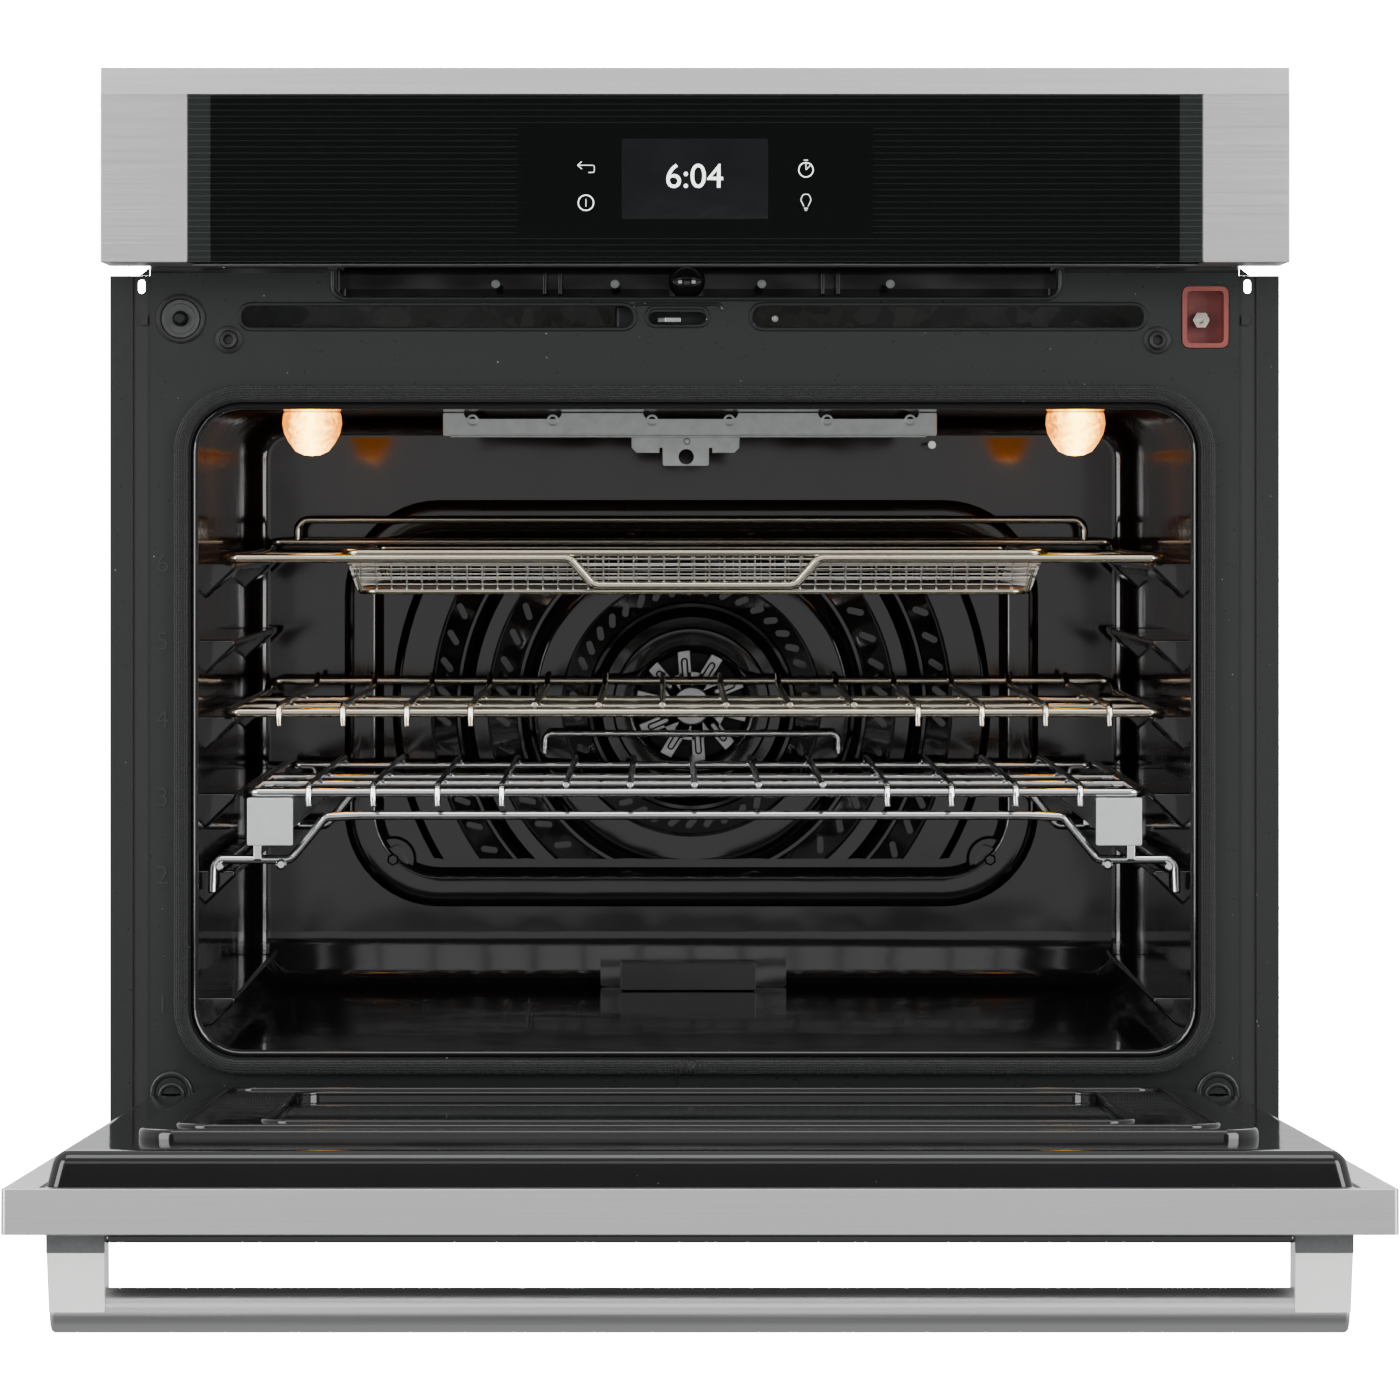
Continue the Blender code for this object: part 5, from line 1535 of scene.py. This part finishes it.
# %% Turning the door open
HINGE = Vector((0, -27, 62))
DOOR_OPEN = radians(87)
OPEN = Matrix.Translation(HINGE) @ Matrix.Rotation(DOOR_OPEN, 4, "X") @ Matrix.Translation(-HINGE)
DOOR_X = 356.0
PAN_BACK, PAN_FACE, PLUG_FACE = -32.7, -13.0, -7.0
PAN_LOW, PAN_HIGH = 77.0, 596.0


def liner_pan():
    """The enamelled inner pan: drawn walls, a plug that fills the opening, and the window."""
    pan = block((-DOOR_X - 2, DOOR_X + 2), (PAN_BACK, PAN_FACE), (PAN_LOW, PAN_HIGH))
    for vert in pan.verts:
        if vert.co.y > PAN_FACE - 1:
            vert.co.x *= 0.987
            vert.co.z += 5 if vert.co.z < 300 else -3
    upright = [e for e in pan.edges if abs(e.verts[0].co.y - e.verts[1].co.y) > 5]
    bevel(pan, upright, 8, 6)
    rim = [e for e in pan.edges if min(v.co.y for v in e.verts) > PAN_FACE - 0.1
           and e.calc_face_angle(0) > radians(30)]
    bevel(pan, rim, 7.5, 6)
    plug = round_edges(block((-317.5, 317.5), (-14, PLUG_FACE), (107.5, 513)), 24, 7, "y")
    tip = [e for e in plug.edges if min(v.co.y for v in e.verts) > PLUG_FACE - 0.1]
    bevel(plug, tip, 3, 3)
    pan = boolean(pan, plug, "UNION")
    hollow = block((-DOOR_X + 20, DOOR_X - 20), (-40, PAN_FACE - 2.5), (PAN_LOW + 20, PAN_HIGH - 20))
    pan = boolean(pan, hollow)
    window = round_edges(block((-250, 250), (-30, 0), (170, 450)), 18, 6, "y")
    return boolean(pan, window)


def bead(half_x, low, high, y, radius, bend):
    corners = [(half_x, y, low), (half_x, y, high), (-half_x, y, high), (-half_x, y, low)]
    return bent_wire(corners, radius, bend, 12, closed=True)


beads = (bead(251, 169, 451, PLUG_FACE, 1.6, 18), bead(296, 128, 492, PLUG_FACE, 1.8, 20))
place("door_liner_pan", joined(liner_pan(), *beads), "black_enamel", "door", ("door_liner",),
      turn=OPEN)
WINDOW_FACE = PLUG_FACE - 3.2
window = plate((-249.7, 249.7), (WINDOW_FACE - 4, WINDOW_FACE), (170.3, 449.7), "y", 18, 0.5)
place("door_window_glass", window, "clear_glass", "door", ("door_window",), turn=OPEN)
gap_strips = [plate(sorted((side * 358.3, side * 361.3)), (-33.4, -32.7), (79, 598), "y",
                    0.5, 0.2, 1, 1) for side in (-1, 1)]
place("door_gap_strips", joined(*gap_strips), "black_rubber", "door", turn=OPEN)
# Darker plates at the foot of each handle post paint the shade where the post meets the door.
root_shade_faces = [plate(sorted((side * 325.6, side * 357.8)), (-69, -58.2), (592.6, 593.3), "z",
                    0.6, 0.3, 2, 1) for side in (-1, 1)]
place("post_root_shade_plates", joined(*root_shade_faces), "post_root_shade", "door", turn=OPEN)
soften_node("door_skin", 0.9, 3)
soften_node("door_outer_glass", 0.8, 3)
soften_node("door_middle_glass", 0.4)
for side in ("left", "right"):
    soften_node("hinge_arm_" + side, 0.5)
    soften_node("hinge_receiver_" + side, 0.4)

# %% [markdown]
# The handle is a brushed bar between two satin posts. Each post hugs the bar, and a fine gap
# shows where they meet.

# %% Handle
bar_low, bar_high = mm_box("handle_bar")
bar_mid = (bar_low + bar_high) / 2
BAR_RADIUS = (bar_high.z - bar_low.z) / 2
half = (bar_high.x - bar_low.x) / 2
end = [(0, 0), (BAR_RADIUS - 3, 0), (BAR_RADIUS - 1.2, 0.5), (BAR_RADIUS - 0.3, 1.6),
       (BAR_RADIUS, 3)]
profile = [(r, -half + t) for r, t in end] + [(r, half - t) for r, t in reversed(end)]
place("handle_bar_brushed", turned(profile, (0, bar_mid.y, bar_mid.z), "x", 64),
      "brushed_stainless", "door", ("handle_bar",))
for side in ("left", "right"):
    soften_node("handle_post_" + side, 1.2, 3, finish="satin_stainless")

# %% [markdown]
# ## Covers
# Plain galvanised covers close the sides, the top and the rear. Pressed beads stiffen them, and
# hexagon screws hold them.

# %% Side covers
COVER_CREASE = 12
BEAD_HALF = 9.0
BEAD_CORNER = BEAD_HALF - 0.2
side_high = mm_box("side_panel_right")[1]


def side_beads(side):
    x = sorted((side * side_high.x, side * (side_high.x + 1.6)))
    return [plate(x, (60, 500), (z - BEAD_HALF, z + BEAD_HALF), "x", BEAD_CORNER, 1.2, 6, 2)
            for z in (150, 330, 510)]


for side, name in ((-1, "left"), (1, "right")):
    soften_node("side_panel_" + name, 0.3, 1, extra=side_beads(side), crease=COVER_CREASE)
    screws = [hex_screw((side * side_high.x, y, z), "+x" if side > 0 else "-x", 0.9)
              for y in (30, 545) for z in (60, 360, 690)]
    place("side_screws_" + name, joined(*screws), "zinc_steel")

# %% Rear and top covers
rear_high = mm_box("rear_panel")[1]
hatch = plate((-150, 150), (rear_high.y - 0.5, rear_high.y + 1.5), (200, 420), "y", 12, 0.8, 6, 2)
ribs = [plate((x - 8, x + 8), (rear_high.y - 0.5, rear_high.y + 1.4), (60, 590), "y",
              7.8, 1.1, 6, 2) for x in (-290, -215, 215, 290)]
soften_node("rear_panel", 0.3, 1, extra=(hatch, *ribs), crease=COVER_CREASE)
rear_screws = [hex_screw((x, rear_high.y, z), "+y", 0.9) for x in (-340, 0, 340) for z in (20, 700)]
rear_screws += [hex_screw((x, rear_high.y + 1.5, z), "+y", 0.9)
                for x in (-138, 138) for z in (212, 408)]
place("rear_screws", joined(*rear_screws), "zinc_steel")
top_high = mm_box("top_cover")[1]
top_beads = [plate((-300, 300), (y - BEAD_HALF, y + BEAD_HALF), (top_high.z - 0.4, top_high.z + 1.5),
                   "z", BEAD_CORNER, 1.2, 6, 2) for y in (120, 240, 360)]
soften_node("top_cover", 0.3, 1, extra=top_beads, crease=COVER_CREASE)
top_screws = [hex_screw((x, y, top_high.z), "+z", 0.9) for x in (-335, 0, 335) for y in (20, 545)]
place("top_screws", joined(*top_screws), "zinc_steel")
soften_node("terminal_box", 0.8, 2)
nut = turned([(8.2, 0), (13, 0), (13, 4), (8.2, 4)], (-195, 520, 725), "y", 6, closed=True)
place("conduit_nut", nut, "zinc_steel")
soften_node("base_pan", 0.6, 2)

# %% [markdown]
# ## Inner parts
# What lies behind the covers shows only through vents and gaps, but it is there: heaters, motors,
# the blower and the board.

# %% Heaters and motors
for node in ("broil_element", "bake_element", "convection_element", "temperature_sensor"):
    soften_node(node, 0.05, 1, 80)
for node in ("convection_motor", "blower_motor"):
    soften_node(node, 0.8, 2, 40)
soften_node("blower_housing", 0.3, 1)
soften_node("panel_bracket", 0.3, 1)
soften_node("control_board", 0.4, 1)


BLOWER_BLADES = 30


def blower_blade(number):
    blade = plate((-120, 120), (26, 34), (-0.5, 0.5), "x", 0.3, 0.2, 1, 1)
    bmesh.ops.rotate(blade, verts=blade.verts, cent=(0, 30, 0),
                     matrix=Matrix.Rotation(radians(35), 3, "X"))
    bmesh.ops.rotate(blade, verts=blade.verts, cent=(0, 0, 0),
                     matrix=Matrix.Rotation(2 * pi * number / BLOWER_BLADES, 3, "X"))
    return blade


hoops = [turned([(25, x - 1.2), (34.2, x - 1.2), (34.2, x + 1.2), (25, x + 1.2)], axis="x",
                steps=48, closed=True) for x in (-119, 0, 119)]
spider = turned([(0, -2), (30, -2), (30, 2), (0, 2)], axis="x", steps=48)
axle = turned([(0, -100), (4, -100), (4, 175), (0, 175)], axis="x", steps=20)
wheel = joined(*hoops, spider, axle, *[blower_blade(i) for i in range(BLOWER_BLADES)])
bmesh.ops.translate(wheel, verts=wheel.verts, vec=(0, 150, 640))
place("blower_wheel_bladed", wheel, "fan_steel", "blower_wheel", ("blower_wheel",))
